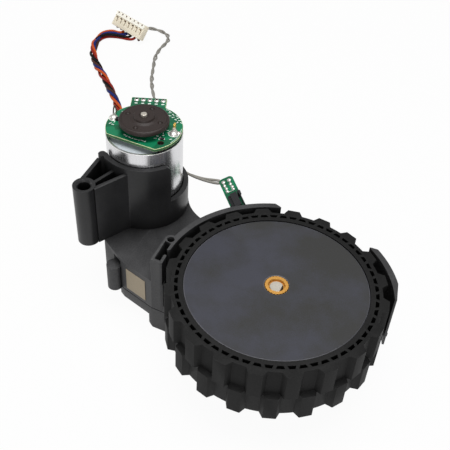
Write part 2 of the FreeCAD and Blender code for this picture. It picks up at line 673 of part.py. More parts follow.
def swing_bracket():
    inner = CAN_R + RING_CLEAR
    low_ring = ring(MOTOR, RING_R, inner, HOUSING_TOP, RING_LOW)
    tall = arc_wall(MOTOR, RING_R, inner, RING_TALL_DEG[0], RING_TALL_DEG[1], HOUSING_TOP, RING_TOP)
    tall = tall.cut(notch_corner_cut())
    tube = cyl((0, 0), TUBE_R, HOUSING_TOP, TUBE_TOP)
    wall_r = (inner + RING_R) / 2
    front = bar((3.3, 0.2), arc_band(FRONT_WEB_DEG, wall_r), WEB_THICK, HOUSING_TOP, WEB_TOP)
    middle = bar((1.1, 2.6), arc_band(MID_RIB_DEG, wall_r), MID_RIB_THICK, HOUSING_TOP, MID_RIB_TOP)
    left = curved_wall(LEFT_WEB, WEB_THICK, HOUSING_TOP, TUBE_TOP)
    block = cyl(arc_band(LEFT_WEB_DEG, RING_R), WEB_THICK, HOUSING_TOP, RING_TOP)
    floor_points = [(3.3, 0.2), arc_band(FRONT_WEB_DEG, wall_r), arc_band(-100, wall_r),
                    arc_band(-116, wall_r), arc_band(LEFT_WEB_DEG, wall_r)]
    floor_points += reversed(LEFT_WEB)
    floor = prism(floor_points, HOUSING_TOP, HOUSING_TOP + WEB_THICK)
    floor = floor.cut(cyl(MOTOR, inner, HOUSING_TOP - 1, RING_TOP))
    webs = [shape.cut(cyl(MOTOR, inner, HOUSING_TOP - 1, RING_TOP + 1)) for shape in (front, middle)]
    pegs = [cyl(arc_band(degrees, BRACKET_PEG_RADIUS), PEG_R, HOUSING_TOP - BRACKET_PEG_DEPTH, HOUSING_TOP + 1)
            for degrees in BRACKET_PEGS_DEG]
    body = fuse([low_ring, tall, tube, left, block.cut(cyl(MOTOR, inner, HOUSING_TOP, RING_TOP)), floor] + webs + pegs)
    body = body.cut(cyl((0, 0), BORE_R, HOUSING_TOP - 1, TUBE_TOP + 1))
    mouth = Part.makeCone(BORE_R, BORE_R + BORE_CHAMFER, BORE_CHAMFER, vec(0, 0, TUBE_TOP - BORE_CHAMFER))
    return body.cut(mouth)


save("swing_bracket", swing_bracket())


# Motor

def bored(shape, centre, radius, low, high):
    return shape.cut(cyl(centre, radius, low - 1, high + 1))


CAN_TOP = CAN_BOTTOM + CAN_LENGTH
can = cyl(MOTOR, CAN_R, CAN_BOTTOM, CAN_TOP)
can = can.cut(cyl(MOTOR, CAN_R - CAN_WALL, CAN_BOTTOM + CAN_FRONT_THICK, CAN_TOP + 1))
can = can.fuse(cyl(MOTOR, CAN_BOSS_R, CAN_BOTTOM - CAN_BOSS_H, CAN_BOTTOM)).removeSplitter()
can = can.fuse(cyl(MOTOR, CAN_BOSS_R - 1, CAN_BOTTOM, CAN_BOTTOM + 3)).removeSplitter()
can = bored(can, MOTOR, MOTOR_SHAFT_R + PIN_FIT, CAN_BOTTOM - 3, CAN_BOTTOM + 4)
for turn in (0, 180):
    hole = polar(MOTOR, MOTOR_SCREW_OFFSET, MOTOR_SCREW_DEG + turn)
    can = can.cut(cyl(hole, MOTOR_SCREW_R, CAN_BOTTOM - 1, CAN_BOTTOM + 2))
save("motor_can", can)

motor_screws = []
for turn in (0, 180):
    spot = polar(MOTOR, MOTOR_SCREW_OFFSET, MOTOR_SCREW_DEG + turn)
    under = CAN_BOTTOM - SEAT_PLATE
    head = cyl(spot, MOTOR_SCREW_R + 0.9, under - 1.2, under)
    shank = cyl(spot, MOTOR_SCREW_R - JOIN_GAP, under, CAN_BOTTOM + CAN_FRONT_THICK)
    motor_screws.append(head.fuse(shank).removeSplitter())
save("motor_screws", Part.makeCompound(motor_screws))

magnet_outer = CAN_R - CAN_WALL - JOIN_GAP
magnets = [arc_wall(MOTOR, magnet_outer, MAGNET_R, start, start + MAGNET_DEG, *MAGNET_FACE)
           for start in (MOTOR_SCREW_DEG - MAGNET_DEG / 2, MOTOR_SCREW_DEG + 180 - MAGNET_DEG / 2)]
save("motor_magnets", Part.makeCompound(magnets))

end_plate = ring(MOTOR, magnet_outer, MOTOR_SHAFT_R + PIN_FIT, *END_PLATE_FACE)
save("motor_end_plate", end_plate)

brush_r = COMMUTATOR_R + 0.05
brush_card = ring(MOTOR, magnet_outer, COMMUTATOR_R + 2.6, *BRUSH_FACE)
for turn in (90, 270):
    spot = polar(MOTOR, COMMUTATOR_R - 1, MOTOR_SCREW_DEG + turn)
    brush = box_at(spot, MOTOR_SCREW_DEG + turn, 5.6, 1.8, BRUSH_FACE[0] + 0.5, BRUSH_FACE[1] - 0.5)
    brush_card = brush_card.fuse(brush)
brush_card = bored(brush_card.removeSplitter(), MOTOR, brush_r, *BRUSH_FACE)
save("brush_card", brush_card)

armature = cyl(MOTOR, ARMATURE_R, *ARMATURE_FACE)
for pole in range(ARMATURE_POLES):
    spot = polar(MOTOR, ARMATURE_R / 2, 360 * pole / ARMATURE_POLES)
    slot = box_at(spot, 360 * pole / ARMATURE_POLES, ARMATURE_R, 2.4, *ARMATURE_FACE)
    armature = armature.cut(slot)
armature = bored(armature, MOTOR, MOTOR_SHAFT_R + JOIN_GAP, *ARMATURE_FACE)
save("armature", armature)
commutator = ring(MOTOR, COMMUTATOR_R, MOTOR_SHAFT_R + JOIN_GAP, ARMATURE_FACE[1], BRUSH_FACE[1] + 0.4)
save("commutator", commutator)
save("motor_shaft", cyl(MOTOR, MOTOR_SHAFT_R, MOTOR_PINION_FACE[0], MOTOR_SHAFT_TOP))

spacer = arc_wall(MOTOR, magnet_outer, magnet_outer - 2.2, SPACER_DEG[0], SPACER_DEG[1], *SPACER_FACE)
for radius, degrees in TERMINAL_SPOTS:
    spacer = bored(spacer, polar(MOTOR, radius, degrees), TERMINAL_R + JOIN_GAP, *SPACER_FACE)
save("board_spacer", spacer)


# Encoder board and disc

def encoder_board():
    low = BOARD_TOP - BOARD_THICK
    disc = cyl(MOTOR, BOARD_R, low, BOARD_TOP)
    flat = Part.makeBox(4 * BOARD_R, BOARD_R, 4, vec(MOTOR[0] - 2 * BOARD_R, MOTOR[1] - BOARD_FLAT - BOARD_R, low - 1))
    tab = box_at(MOTOR, TAB_DEG, TAB_REACH, 2 * TAB_HALF, low, BOARD_TOP)
    board = disc.cut(flat).fuse(tab).removeSplitter()
    board = bored(board, MOTOR, BOARD_HOLE_R, low, BOARD_TOP)
    for radius, degrees in TERMINAL_SPOTS:
        board = bored(board, polar(MOTOR, radius, degrees), TERMINAL_R + JOIN_GAP, low, BOARD_TOP)
    board = bored(board, (MOTOR[0] + 8.5, MOTOR[1] - 5.0), 0.95, low, BOARD_TOP)
    return board


save("encoder_board", encoder_board())

terminals = []
for radius, degrees in TERMINAL_SPOTS:
    spot = polar(MOTOR, radius, degrees)
    stem = cyl(spot, TERMINAL_R, END_PLATE_FACE[1], BOARD_TOP + 1.3)
    solder = Part.makeCone(TERMINAL_R * 2.4, TERMINAL_R * 1.1, 0.9, vec(spot[0], spot[1], BOARD_TOP))
    terminals.append(stem.fuse(solder).removeSplitter())
save("motor_terminals", Part.makeCompound(terminals))

disc = cyl(MOTOR, DISC_R, DISC_TOP - DISC_FLANGE, DISC_TOP)
disc = disc.fuse(cyl(MOTOR, DISC_STEP_R, DISC_TOP - DISC_THICK, DISC_TOP - DISC_FLANGE))
for radius, top in HUB_STEPS:
    disc = disc.fuse(cyl(MOTOR, radius, DISC_TOP - 1, top))
save("encoder_disc", bored(disc.removeSplitter(), MOTOR, MOTOR_SHAFT_R + JOIN_GAP, DISC_TOP - 3, DISC_TOP + 3))


# Gears and their pins

def idler(centre, big, big_face, small, small_face):
    """A large and a small gear in one piece, free to turn on its pin."""
    body = big.fuse(small).removeSplitter()
    low = min(big_face[0], small_face[0])
    high = max(big_face[1], small_face[1])
    return bored(body, centre, PIN_R + PIN_FIT, low, high)


pinion = gear(M_FIRST, Z_MOTOR, MOTOR, MOTOR_PINION_FACE, mesh_phase(FIRST, MOTOR, Z_MOTOR))
save("motor_pinion", bored(pinion, MOTOR, MOTOR_SHAFT_R + JOIN_GAP, *MOTOR_PINION_FACE))

first_big = gear(M_FIRST, Z_FIRST_BIG, FIRST, FIRST_BIG_FACE, line_phase(FIRST, MOTOR))
first_small = gear(M_SECOND, Z_FIRST_SMALL, FIRST, FIRST_SMALL_FACE, mesh_phase(SECOND, FIRST, Z_FIRST_SMALL))
save("first_gear", idler(FIRST, first_big, FIRST_BIG_FACE, first_small, FIRST_SMALL_FACE))

second_big = gear(M_SECOND, Z_SECOND_BIG, SECOND, SECOND_BIG_FACE, line_phase(SECOND, FIRST))
second_small = gear(M_THIRD, Z_SECOND_SMALL, SECOND, SECOND_SMALL_FACE, mesh_phase(THIRD, SECOND, Z_SECOND_SMALL))
save("second_gear", idler(SECOND, second_big, SECOND_BIG_FACE, second_small, SECOND_SMALL_FACE))

third_big = gear(M_THIRD, Z_THIRD_BIG, THIRD, THIRD_BIG_FACE, line_phase(THIRD, SECOND))
third_small = gear(M_OUT, Z_THIRD_SMALL, THIRD, OUT_FACE, mesh_phase(AXLE, THIRD, Z_THIRD_SMALL))
third_small = third_small.fuse(cyl(THIRD, 3.0, OUT_FACE[1], THIRD_BIG_FACE[0]))
save("third_gear", idler(THIRD, third_big, THIRD_BIG_FACE, third_small, OUT_FACE))

output_gear = gear(M_OUT, Z_OUT, AXLE, OUT_FACE, line_phase(AXLE, THIRD))
output_gear = output_gear.fuse(cyl(AXLE, OUT_HUB_R, OUT_FACE[1], MID_BEARING_BOTTOM - 0.2)).removeSplitter()
save("output_gear", bored(output_gear, AXLE, SHAFT_R + JOIN_GAP, OUT_FACE[0], MID_BEARING_BOTTOM))

pins = [cyl(FIRST, PIN_R, COVER_SHALLOW + 0.7, HOUSING_TOP - 1.0)]
pins += [cyl(centre, PIN_R, COVER_DEEP + 0.6, BASE_TOP - 0.6) for centre in (SECOND, THIRD)]
save("gear_pins", Part.makeCompound(pins))


# Axle and its bearings

bearings = [ring(AXLE, BEARING_R, SHAFT_R + PIN_FIT, low, low + BEARING_H)
            for low in (TOWER_TOP - BEARING_H, MID_BEARING_BOTTOM)]
bearings.append(ring(AXLE, BUSH_R, SHAFT_R + PIN_FIT, COVER_DEEP + 0.6, OUT_FACE[0] - RUN_GAP))
save("axle_bearings", Part.makeCompound(bearings))


def shaft_with_flat(radius, flat, low, high):
    body = cyl(AXLE, radius, low, high)
    return body.cut(Part.makeBox(4, 8, high - INSERT_BOTTOM + 1, vec(AXLE[0] + flat, AXLE[1] - 4, INSERT_BOTTOM)))


save("output_shaft", shaft_with_flat(SHAFT_R, SHAFT_FLAT, SHAFT_BOTTOM, SHAFT_TOP))

insert = cyl(AXLE, INSERT_BODY_R, INSERT_BOTTOM, RIM_TOP)
insert = insert.fuse(cyl(AXLE, INSERT_R, RIM_TOP, CAP_TOP + 0.1)).removeSplitter()
insert = insert.cut(shaft_with_flat(SHAFT_R + JOIN_GAP, SHAFT_FLAT + JOIN_GAP, INSERT_BOTTOM - 1, CAP_TOP + 1))
insert = insert.cut(cyl(AXLE, INSERT_MOUTH_R, CAP_TOP - INSERT_MOUTH_DEPTH, CAP_TOP + 1))
save("hub_insert", insert)


# Wheel: rim, cap and tyre

def wheel_rim():
    wall = ring(AXLE, RIM_OUTER_R, RIM_OUTER_R - RIM_WALL, RIM_BOTTOM, RIM_TOP)
    web = cyl(AXLE, RIM_OUTER_R - 0.5, RIM_WEB_BOTTOM, RIM_WEB_TOP)
    hub = cyl(AXLE, RIM_HUB_R, HUB_BOTTOM, RIM_TOP)
    ribs = []
    for index in range(RIM_RIBS):
        degrees = 360 * index / RIM_RIBS
        start = polar(AXLE, RIM_HUB_R - 0.5, degrees)
        end = polar(AXLE, RIM_OUTER_R - 0.5, degrees)
        low_start = polar(AXLE, TOWER_R + 1.4, degrees)
        ribs.append(bar(start, end, RIM_RIB_THICK, RIM_WEB_TOP - 0.5, RIM_TOP - CAP_SKIRT_DEPTH - 0.4))
        ribs.append(bar(low_start, end, RIM_RIB_THICK, RIM_BOTTOM + 0.8, RIM_WEB_BOTTOM + 0.5))
    body = fuse([wall, web, hub] + ribs)
    body = body.cut(cyl(AXLE, INSERT_BODY_R + JOIN_GAP, INSERT_BOTTOM, RIM_TOP + 1))
    return bored(body, AXLE, SHAFT_R + JOIN_GAP, HUB_BOTTOM, RIM_TOP)


save("wheel_rim", wheel_rim())

skirt_r = RIM_OUTER_R - RIM_WALL - JOIN_GAP
cap = cyl(AXLE, CAP_R, RIM_TOP, CAP_TOP)
cap = cap.fuse(ring(AXLE, skirt_r, skirt_r - CAP_SKIRT_THICK, RIM_TOP - CAP_SKIRT_DEPTH, RIM_TOP)).removeSplitter()
save("wheel_cap", bored(cap, AXLE, INSERT_R + JOIN_GAP, RIM_TOP, CAP_TOP))


def lug(middle, low, high):
    """One block of the tread, wider at its foot than at its tip."""
    corners = [polar(AXLE, TREAD_ROOT_R - 0.5, middle - LUG_BASE_DEG / 2),
               polar(AXLE, LUG_TIP_R, middle - LUG_TIP_DEG / 2),
               polar(AXLE, LUG_TIP_R, middle + LUG_TIP_DEG / 2),
               polar(AXLE, TREAD_ROOT_R - 0.5, middle + LUG_BASE_DEG / 2)]
    return prism(corners, low, high)


def tyre():
    pitch = 360 / LUG_COUNT
    blocks = [ring(AXLE, TREAD_ROOT_R, RIM_OUTER_R + JOIN_GAP, TYRE_BOTTOM, TYRE_TOP)]
    for index in range(LUG_COUNT):
        middle = LUG_START_DEG + pitch * index
        blocks.append(lug(middle, ROW_SPLIT, TYRE_TOP))
        blocks.append(lug(middle + pitch / 2, TYRE_BOTTOM, ROW_SPLIT))
    body = fuse(blocks)
    slots = []
    for index in range(SLOT_COUNT):
        middle = 360 * index / SLOT_COUNT
        if index % 2 == 0:
            inner, outer = SLOT_WIDE_DEG, SLOT_NARROW_DEG
        else:
            inner, outer = SLOT_NARROW_DEG, SLOT_WIDE_DEG
        corners = [polar(AXLE, SLOT_INNER_R, middle - inner), polar(AXLE, SLOT_OUTER_R, middle - outer),
                   polar(AXLE, SLOT_OUTER_R, middle + outer), polar(AXLE, SLOT_INNER_R, middle + inner)]
        slots.append(prism(corners, TYRE_BOTTOM - 1, TYRE_TOP + 1))
    return body.cut(Part.makeCompound(slots))


save("tyre", tyre())


# Switch on its board

def switch_block(along, length, side, width, low, high):
    return box_at(switch_point(along, side), SWITCH_DEG + 180, length, width, low, high)


board_low = SWITCH_BOARD_TOP - SWITCH_BOARD[2]
corner_side = SWITCH_BOARD[1] / 2 - BOARD_CORNER_R
board_blocks = [switch_block(BOARD_CORNER_R, SWITCH_BOARD[0] - BOARD_CORNER_R, 0, SWITCH_BOARD[1],
                             board_low, SWITCH_BOARD_TOP)]
board_blocks.append(switch_block(0, SWITCH_BOARD[0] / 2, 0, 2 * corner_side, board_low, SWITCH_BOARD_TOP))
for side in (-corner_side, corner_side):
    board_blocks.append(cyl(switch_point(BOARD_CORNER_R, side), BOARD_CORNER_R, board_low, SWITCH_BOARD_TOP))
switch_board = fuse(board_blocks)
for side in (-PEG_SIDE, PEG_SIDE):
    spot = switch_point(SWITCH_BOARD[0] - PEG_INSET, side)
    switch_board = bored(switch_board, spot, PEG_R + JOIN_GAP, board_low, SWITCH_BOARD_TOP)
save("switch_board", rolled(switch_board))

switch_body = switch_block(SWITCH_BODY_AT, SWITCH_BODY[0], SWITCH_BODY_SIDE, SWITCH_BODY[1],
                           SWITCH_BOARD_TOP, SWITCH_BOARD_TOP + SWITCH_BODY[2])
crown_side = SWITCH_BODY_SIDE + (SWITCH_BODY[1] - SWITCH_CROWN[1]) / 2
crown = switch_block(SWITCH_BODY_AT, SWITCH_CROWN[0], crown_side, SWITCH_CROWN[1],
                     SWITCH_BOARD_TOP, SWITCH_BOARD_TOP + SWITCH_CROWN[2])
lever_side = SWITCH_BODY_SIDE + SWITCH_BODY[1] / 2 + LEVER_GAP + LEVER_THICK / 2
pivot = switch_point(SWITCH_BODY_AT + PIVOT_INSET, lever_side)
foot = switch_block(SWITCH_BODY_AT, 2 * PIVOT_INSET, lever_side - 0.7, 1.9, SWITCH_BOARD_TOP, SWITCH_BOARD_TOP + 0.4)
post = cyl(pivot, PIVOT_R, SWITCH_BOARD_TOP, SWITCH_BOARD_TOP + 0.6 + LEVER_HEIGHT)
save("switch_body", rolled(fuse([switch_body, crown, foot, post])))

lever_low = SWITCH_BOARD_TOP + 0.5
eye = cyl(pivot, EYE_R, lever_low, lever_low + LEVER_HEIGHT)
blade = switch_block(SWITCH_BODY_AT + PIVOT_INSET, LEVER_LENGTH, lever_side, LEVER_THICK,
                     lever_low, lever_low + LEVER_HEIGHT)
lever = bored(eye.fuse(blade).removeSplitter(), pivot, PIVOT_R + PIN_FIT, lever_low, lever_low + LEVER_HEIGHT)
save("switch_lever", rolled(lever))
pivot_line = rolled(Part.makeLine(vec(*pivot, lever_low), vec(*pivot, lever_low + 1)))
print("switch pivot", pivot_line.Vertexes[0].Point, pivot_line.Vertexes[1].Point)


# Blank tan patch on the arm's front wall

along = (ARM_CORNER[0] - ARM_BEND[0], ARM_CORNER[1] - ARM_BEND[1])
wall_length = math.hypot(*along)
ux = along[0] / wall_length
uy = along[1] / wall_length
ox = uy * PATCH_THICK
oy = -ux * PATCH_THICK
patch_points = []
for distance, out in ((PATCH_SPAN[0], 0), (PATCH_SPAN[0], 1), (PATCH_SPAN[1], 1), (PATCH_SPAN[1], 0)):
    patch_points.append((ARM_BEND[0] + ux * distance + ox * out, ARM_BEND[1] + uy * distance + oy * out))
save("tan_patch", prism(patch_points, PATCH_HEIGHTS[0], PATCH_HEIGHTS[1]))


# Wires and their connector

def cord(name, points, radius):
    """A round cord of straight runs that are joined by arcs."""
    knots = [vec(*point) for point in points]
    edges = []
    here = knots[0]
    radii = []
    for before, corner, after in zip(knots, knots[1:], knots[2:]):
        back = before - corner
        ahead = after - corner
        shorter = min(back.Length, ahead.Length)
        half_turn = (math.pi - back.getAngle(ahead)) / 2
        reach = 0.45 * shorter
        radii.append(round(reach / math.tan(half_turn), 2))
        start = corner + back * (reach / back.Length)
        end = corner + ahead * (reach / ahead.Length)
        towards = (start + end) / 2 - corner
        bend_r = reach / math.tan(half_turn)
        centre_distance = bend_r / math.cos(half_turn)
        middle = corner + towards * ((centre_distance - bend_r) / towards.Length)
        edges.append(Part.makeLine(here, start))
        edges.append(Part.Arc(start, middle, end).toShape())
        here = end
    edges.append(Part.makeLine(here, knots[-1]))
    path = Part.Wire(edges)
    circle = Part.Wire(Part.makeCircle(radius, knots[0], knots[1] - knots[0]))
    tube = path.makePipeShell([circle], True, False)
    print(name, "length", round(path.Length, 1), "radii", radii)
    print(name, "volume share", round(tube.Volume / (math.pi * radius ** 2 * path.Length), 4))
    save(name, tube)


cord("wire_bundle", BUNDLE_POINTS, BUNDLE_R)
cord("sensor_lead", PAIR_POINTS, PAIR_R)


def connector():
    """The plug's housing and its contacts, built flat and then laid in place."""
    width = CONNECTOR_PITCH * (CONNECTOR_WAYS - 1) + 2 * CONNECTOR_ENDS
    shell = Part.makeBox(width, CONNECTOR_DEPTH, CONNECTOR_HEIGHT, vec(-width / 2, 0, 0))
    contacts = []
    for way in range(CONNECTOR_WAYS):
        x = CONNECTOR_PITCH * (way - (CONNECTOR_WAYS - 1) / 2)
        cavity = Part.makeBox(CONTACT[0] + 0.5, CONTACT[1] + 1, CONTACT[2] + 0.5,
                              vec(x - CONTACT[0] / 2 - 0.25, CONNECTOR_DEPTH - CONTACT[1] - 0.9,
                                  WIRE_ENTRY - CONTACT[2] / 2 - 0.25))
        entry = Part.makeCylinder(WIRE_HOLE_R, CONNECTOR_DEPTH - CONTACT[1], vec(x, 0, WIRE_ENTRY), vec(0, 1, 0))
        window = Part.makeBox(WINDOW[0], WINDOW[1], CONNECTOR_HEIGHT, vec(x - WINDOW[0] / 2, WINDOW_AT, WIRE_ENTRY))
        shell = shell.cut(cavity).cut(entry).cut(window)
        blade = Part.makeBox(CONTACT[0], CONTACT[1], CONTACT[2],
                             vec(x - CONTACT[0] / 2, CONNECTOR_DEPTH - CONTACT[1] - 0.9,
                                 WIRE_ENTRY - CONTACT[2] / 2))
        contacts.append(blade)
    placed = []
    for shape in (shell, Part.makeCompound(contacts)):
        shape.rotate(vec(0, 0), vec(0, 0, 1), CONNECTOR_DEG)
        shape.translate(vec(CONNECTOR_CENTRE[0], CONNECTOR_CENTRE[1], COVER_DEEP + CONNECTOR_LIFT))
        placed.append(shape)
    return placed


housing, contacts = connector()
save("connector_housing", housing)
save("connector_contacts", contacts)
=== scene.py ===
import json
import math

import bpy
from mathutils import Matrix, Vector

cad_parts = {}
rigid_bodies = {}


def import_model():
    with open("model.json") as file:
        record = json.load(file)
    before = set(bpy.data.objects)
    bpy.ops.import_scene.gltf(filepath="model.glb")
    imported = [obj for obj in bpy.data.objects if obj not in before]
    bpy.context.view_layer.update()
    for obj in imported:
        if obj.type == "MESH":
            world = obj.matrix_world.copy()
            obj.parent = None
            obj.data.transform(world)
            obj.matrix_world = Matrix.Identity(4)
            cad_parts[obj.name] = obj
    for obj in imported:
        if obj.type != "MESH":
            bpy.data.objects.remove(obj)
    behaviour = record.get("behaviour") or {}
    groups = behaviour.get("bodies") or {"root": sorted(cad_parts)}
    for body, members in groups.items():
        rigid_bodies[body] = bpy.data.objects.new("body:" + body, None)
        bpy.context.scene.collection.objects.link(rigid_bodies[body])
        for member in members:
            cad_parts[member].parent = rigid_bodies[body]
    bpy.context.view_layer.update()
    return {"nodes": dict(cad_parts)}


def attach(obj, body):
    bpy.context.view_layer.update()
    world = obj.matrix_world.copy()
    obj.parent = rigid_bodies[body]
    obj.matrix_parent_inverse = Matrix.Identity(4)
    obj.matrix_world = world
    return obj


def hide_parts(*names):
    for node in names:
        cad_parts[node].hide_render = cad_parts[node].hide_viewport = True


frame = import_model()
bpy.ops.object.select_all(action="DESELECT")


# The view: a catalogue camera that looks down on the module from its front left. It has a
# 61 mm lens on a 36 mm sensor and is rolled by a few degrees, as the photograph was cropped.
eye = Vector((0.10652, -0.14502, 0.17470))
forward = Vector((-0.2764, 0.6723, -0.6867)).normalized()
level_right = Vector((0.9249, 0.3803, 0.0)).normalized()
level_up = level_right.cross(forward).normalized()
roll = math.radians(3.73)
right = level_right * math.cos(roll) + level_up * math.sin(roll)
up = level_up * math.cos(roll) - level_right * math.sin(roll)
bpy.ops.object.camera_add()
camera = bpy.context.active_object
camera.name = "catalogue_camera"
turn = Matrix((right, up, -forward)).transposed()
camera.matrix_world = Matrix.Translation(eye) @ turn.to_4x4()
camera.data.sensor_width = 36.0
camera.data.lens = 61.3
camera.data.clip_start = 0.005
bpy.context.scene.camera = camera
bpy.context.scene.view_settings.view_transform = "Standard"


# The table: a pale seamless sheet of board that the module lies on, lit by three soft boxes
# and a dim white room. The camera sees it as nearly white, and it still takes the shadow.
RESTING = -0.0218


def linear(code):
    """An sRGB hex colour as the linear values that a shader takes."""
    parts = [int(code[at:at + 2], 16) / 255 for at in (0, 2, 4)]
    shares = [part / 12.92 if part <= 0.04045 else ((part + 0.055) / 1.055) ** 2.4 for part in parts]
    return shares + [1.0]


def add_node(material, kind, values=None, links=None, **settings):
    """One shader node with its settings, its socket values and its incoming links."""
    node = material.node_tree.nodes.new(kind)
    for name, value in settings.items():
        setattr(node, name, value)
    for socket, value in (values or {}).items():
        node.inputs[socket].default_value = value
    for socket, source in (links or {}).items():
        material.node_tree.links.new(source, node.inputs[socket])
    return node


def new_material(name):
    """A material that has no nodes in it yet."""
    material = bpy.data.materials.new(name)
    material.use_nodes = True
    material.node_tree.nodes.clear()
    return material


bpy.ops.mesh.primitive_plane_add(size=3.0, location=(0.03, 0.06, RESTING))
table = bpy.context.active_object
table.name = "pale_table"
board = new_material("pale matt board")
coat = add_node(board, "ShaderNodeBsdfDiffuse", {"Color": linear("dcdcdc")})
glow = add_node(board, "ShaderNodeEmission", {"Color": linear("ffffff"), "Strength": 1.0})
path = add_node(board, "ShaderNodeLightPath")
mirrored = add_node(board, "ShaderNodeMath", {1: 0.8}, {0: path.outputs["Is Glossy Ray"]},
                    operation="MULTIPLY")
seen = add_node(board, "ShaderNodeMath", {1: 0.95},
                {0: path.outputs["Is Camera Ray"], 2: mirrored.outputs[0]}, operation="MULTIPLY_ADD")
mixed = add_node(board, "ShaderNodeMixShader",
                 links={0: seen.outputs[0], 1: coat.outputs[0], 2: glow.outputs[0]})
add_node(board, "ShaderNodeOutputMaterial", links={"Surface": mixed.outputs[0]})
table.data.materials.append(board)

room = bpy.data.worlds.new("white room")
room.use_nodes = True
room_path = add_node(room, "ShaderNodeLightPath")
room_level = add_node(room, "ShaderNodeMath", {1: 0.25, 2: 0.2}, {0: room_path.outputs["Is Glossy Ray"]},
                      operation="MULTIPLY_ADD")
room.node_tree.nodes["Background"].inputs["Color"].default_value = linear("ffffff")
room.node_tree.links.new(room_level.outputs[0], room.node_tree.nodes["Background"].inputs["Strength"])
bpy.context.scene.world = room


def soft_box(name, place, aim, size, watts):
    """A rectangular area lamp that is turned towards its aim."""
    bpy.ops.object.light_add(type="AREA", location=place)
    lamp = bpy.context.active_object
    lamp.name = name
    lamp.data.shape = "RECTANGLE"
    lamp.data.size = size[0]
    lamp.data.size_y = size[1]
    lamp.data.energy = watts
    direction = Vector(aim) - Vector(place)
    lamp.rotation_euler = direction.to_track_quat("-Z", "Y").to_euler()


soft_box("key_box", (0.05, 0.05, 0.75), (0.03, 0.02, 0.0), (0.5, 0.5), 5.0)
soft_box("left_box", (-0.60, -0.05, 0.22), (0.03, 0.02, 0.0), (0.25, 0.5), 0.45)
soft_box("front_box", (0.30, -0.52, 0.30), (0.03, 0.0, 0.0), (0.45, 0.3), 1.5)


# The motor leads: five PVC hook-up wires of 1.24 mm, twisted loosely into one strand. They leave
# the encoder board from below, drop behind the motor and lie on the table as far as the plug.
def route_curve(name, points):
    """A smooth route near the given points, which are in millimetres."""
    data = bpy.data.curves.new(name, "CURVE")
    data.dimensions = "3D"
    data.resolution_u = 16
    spline = data.splines.new("NURBS")
    spline.points.add(len(points) - 1)
    for knot, place in zip(spline.points, points):
        knot.co = (place[0] / 1000, place[1] / 1000, place[2] / 1000, 1.0)
    spline.order_u = 3
    spline.use_endpoint_u = True
    curve = bpy.data.objects.new(name, data)
    bpy.context.collection.objects.link(curve)
    return curve


def route_points(curve):
    """The places along a route, read from its own spline, with its doubled ends left out."""
    bpy.context.view_layer.update()
    line = bpy.data.meshes.new_from_object(curve.evaluated_get(bpy.context.evaluated_depsgraph_get()))
    places = []
    for vertex in line.vertices:
        if not places or (vertex.co - places[-1]).length > 0.00005:
            places.append(vertex.co.copy())
    bpy.data.objects.remove(curve)
    return places


def run_lengths(places):
    """How far along the route each place lies."""
    total = [0.0]
    for before, after in zip(places, places[1:]):
        total.append(total[-1] + (after - before).length)
    return total


def side_vectors(places):
    """Two directions square to the route at each place, carried along without twisting."""
    frames = []
    side = None
    for index, place in enumerate(places):
        ahead = places[min(index + 1, len(places) - 1)]
        behind = places[max(index - 1, 0)]
        along = (ahead - behind).normalized()
        if side is None:
            side = along.orthogonal().normalized()
        side = (side - along * side.dot(along)).normalized()
        frames.append((side, along.cross(side)))
    return frames


def wire(name, places, radius, material):
    """A round wire along the places, as a closed mesh with its own UV map."""
    data = bpy.data.curves.new(name, "CURVE")
    data.dimensions = "3D"
    data.bevel_depth = radius
    data.bevel_resolution = 3
    data.use_fill_caps = True
    spline = data.splines.new("POLY")
    spline.points.add(len(places) - 1)
    for knot, place in zip(spline.points, places):
        knot.co = (place.x, place.y, place.z, 1.0)
    spline.use_smooth = True
    data.materials.append(material)
    piece = bpy.data.objects.new(name, data)
    bpy.context.collection.objects.link(piece)
    bpy.ops.object.select_all(action="DESELECT")
    piece.select_set(True)
    bpy.context.view_layer.objects.active = piece
    bpy.ops.object.convert(target="MESH")
    return bpy.context.active_object


def join(pieces, name):
    """Several meshes as one piece."""
    bpy.ops.object.select_all(action="DESELECT")
    for piece in pieces:
        piece.select_set(True)
    bpy.context.view_layer.objects.active = pieces[0]
    bpy.ops.object.join()
    joined = bpy.context.active_object
    joined.name = name
    return joined


def jacket(name, code):
    """Soft PVC wire jacket, extruded: an even colour, a low sheen and slight waviness."""
    material = new_material(name)
    spots = add_node(material, "ShaderNodeTexCoord")
    waves = add_node(material, "ShaderNodeTexNoise", {"Scale": 900.0, "Detail": 2.0},
                     {"Vector": spots.outputs["Object"]})
    shade = [part * 0.72 for part in linear(code)[:3]] + [1.0]
    tint = add_node(material, "ShaderNodeMixRGB", {1: linear(code), 2: shade}, {0: waves.outputs["Fac"]})
    bump = add_node(material, "ShaderNodeBump", {"Strength": 0.15, "Distance": 0.0001},
                    {"Height": waves.outputs["Fac"]})
    skin = add_node(material, "ShaderNodeBsdfPrincipled", {"Roughness": 0.48, "Specular IOR Level": 0.1},
                    {"Base Color": tint.outputs[0], "Normal": bump.outputs[0]})
    add_node(material, "ShaderNodeOutputMaterial", links={"Surface": skin.outputs[0]})
    return material


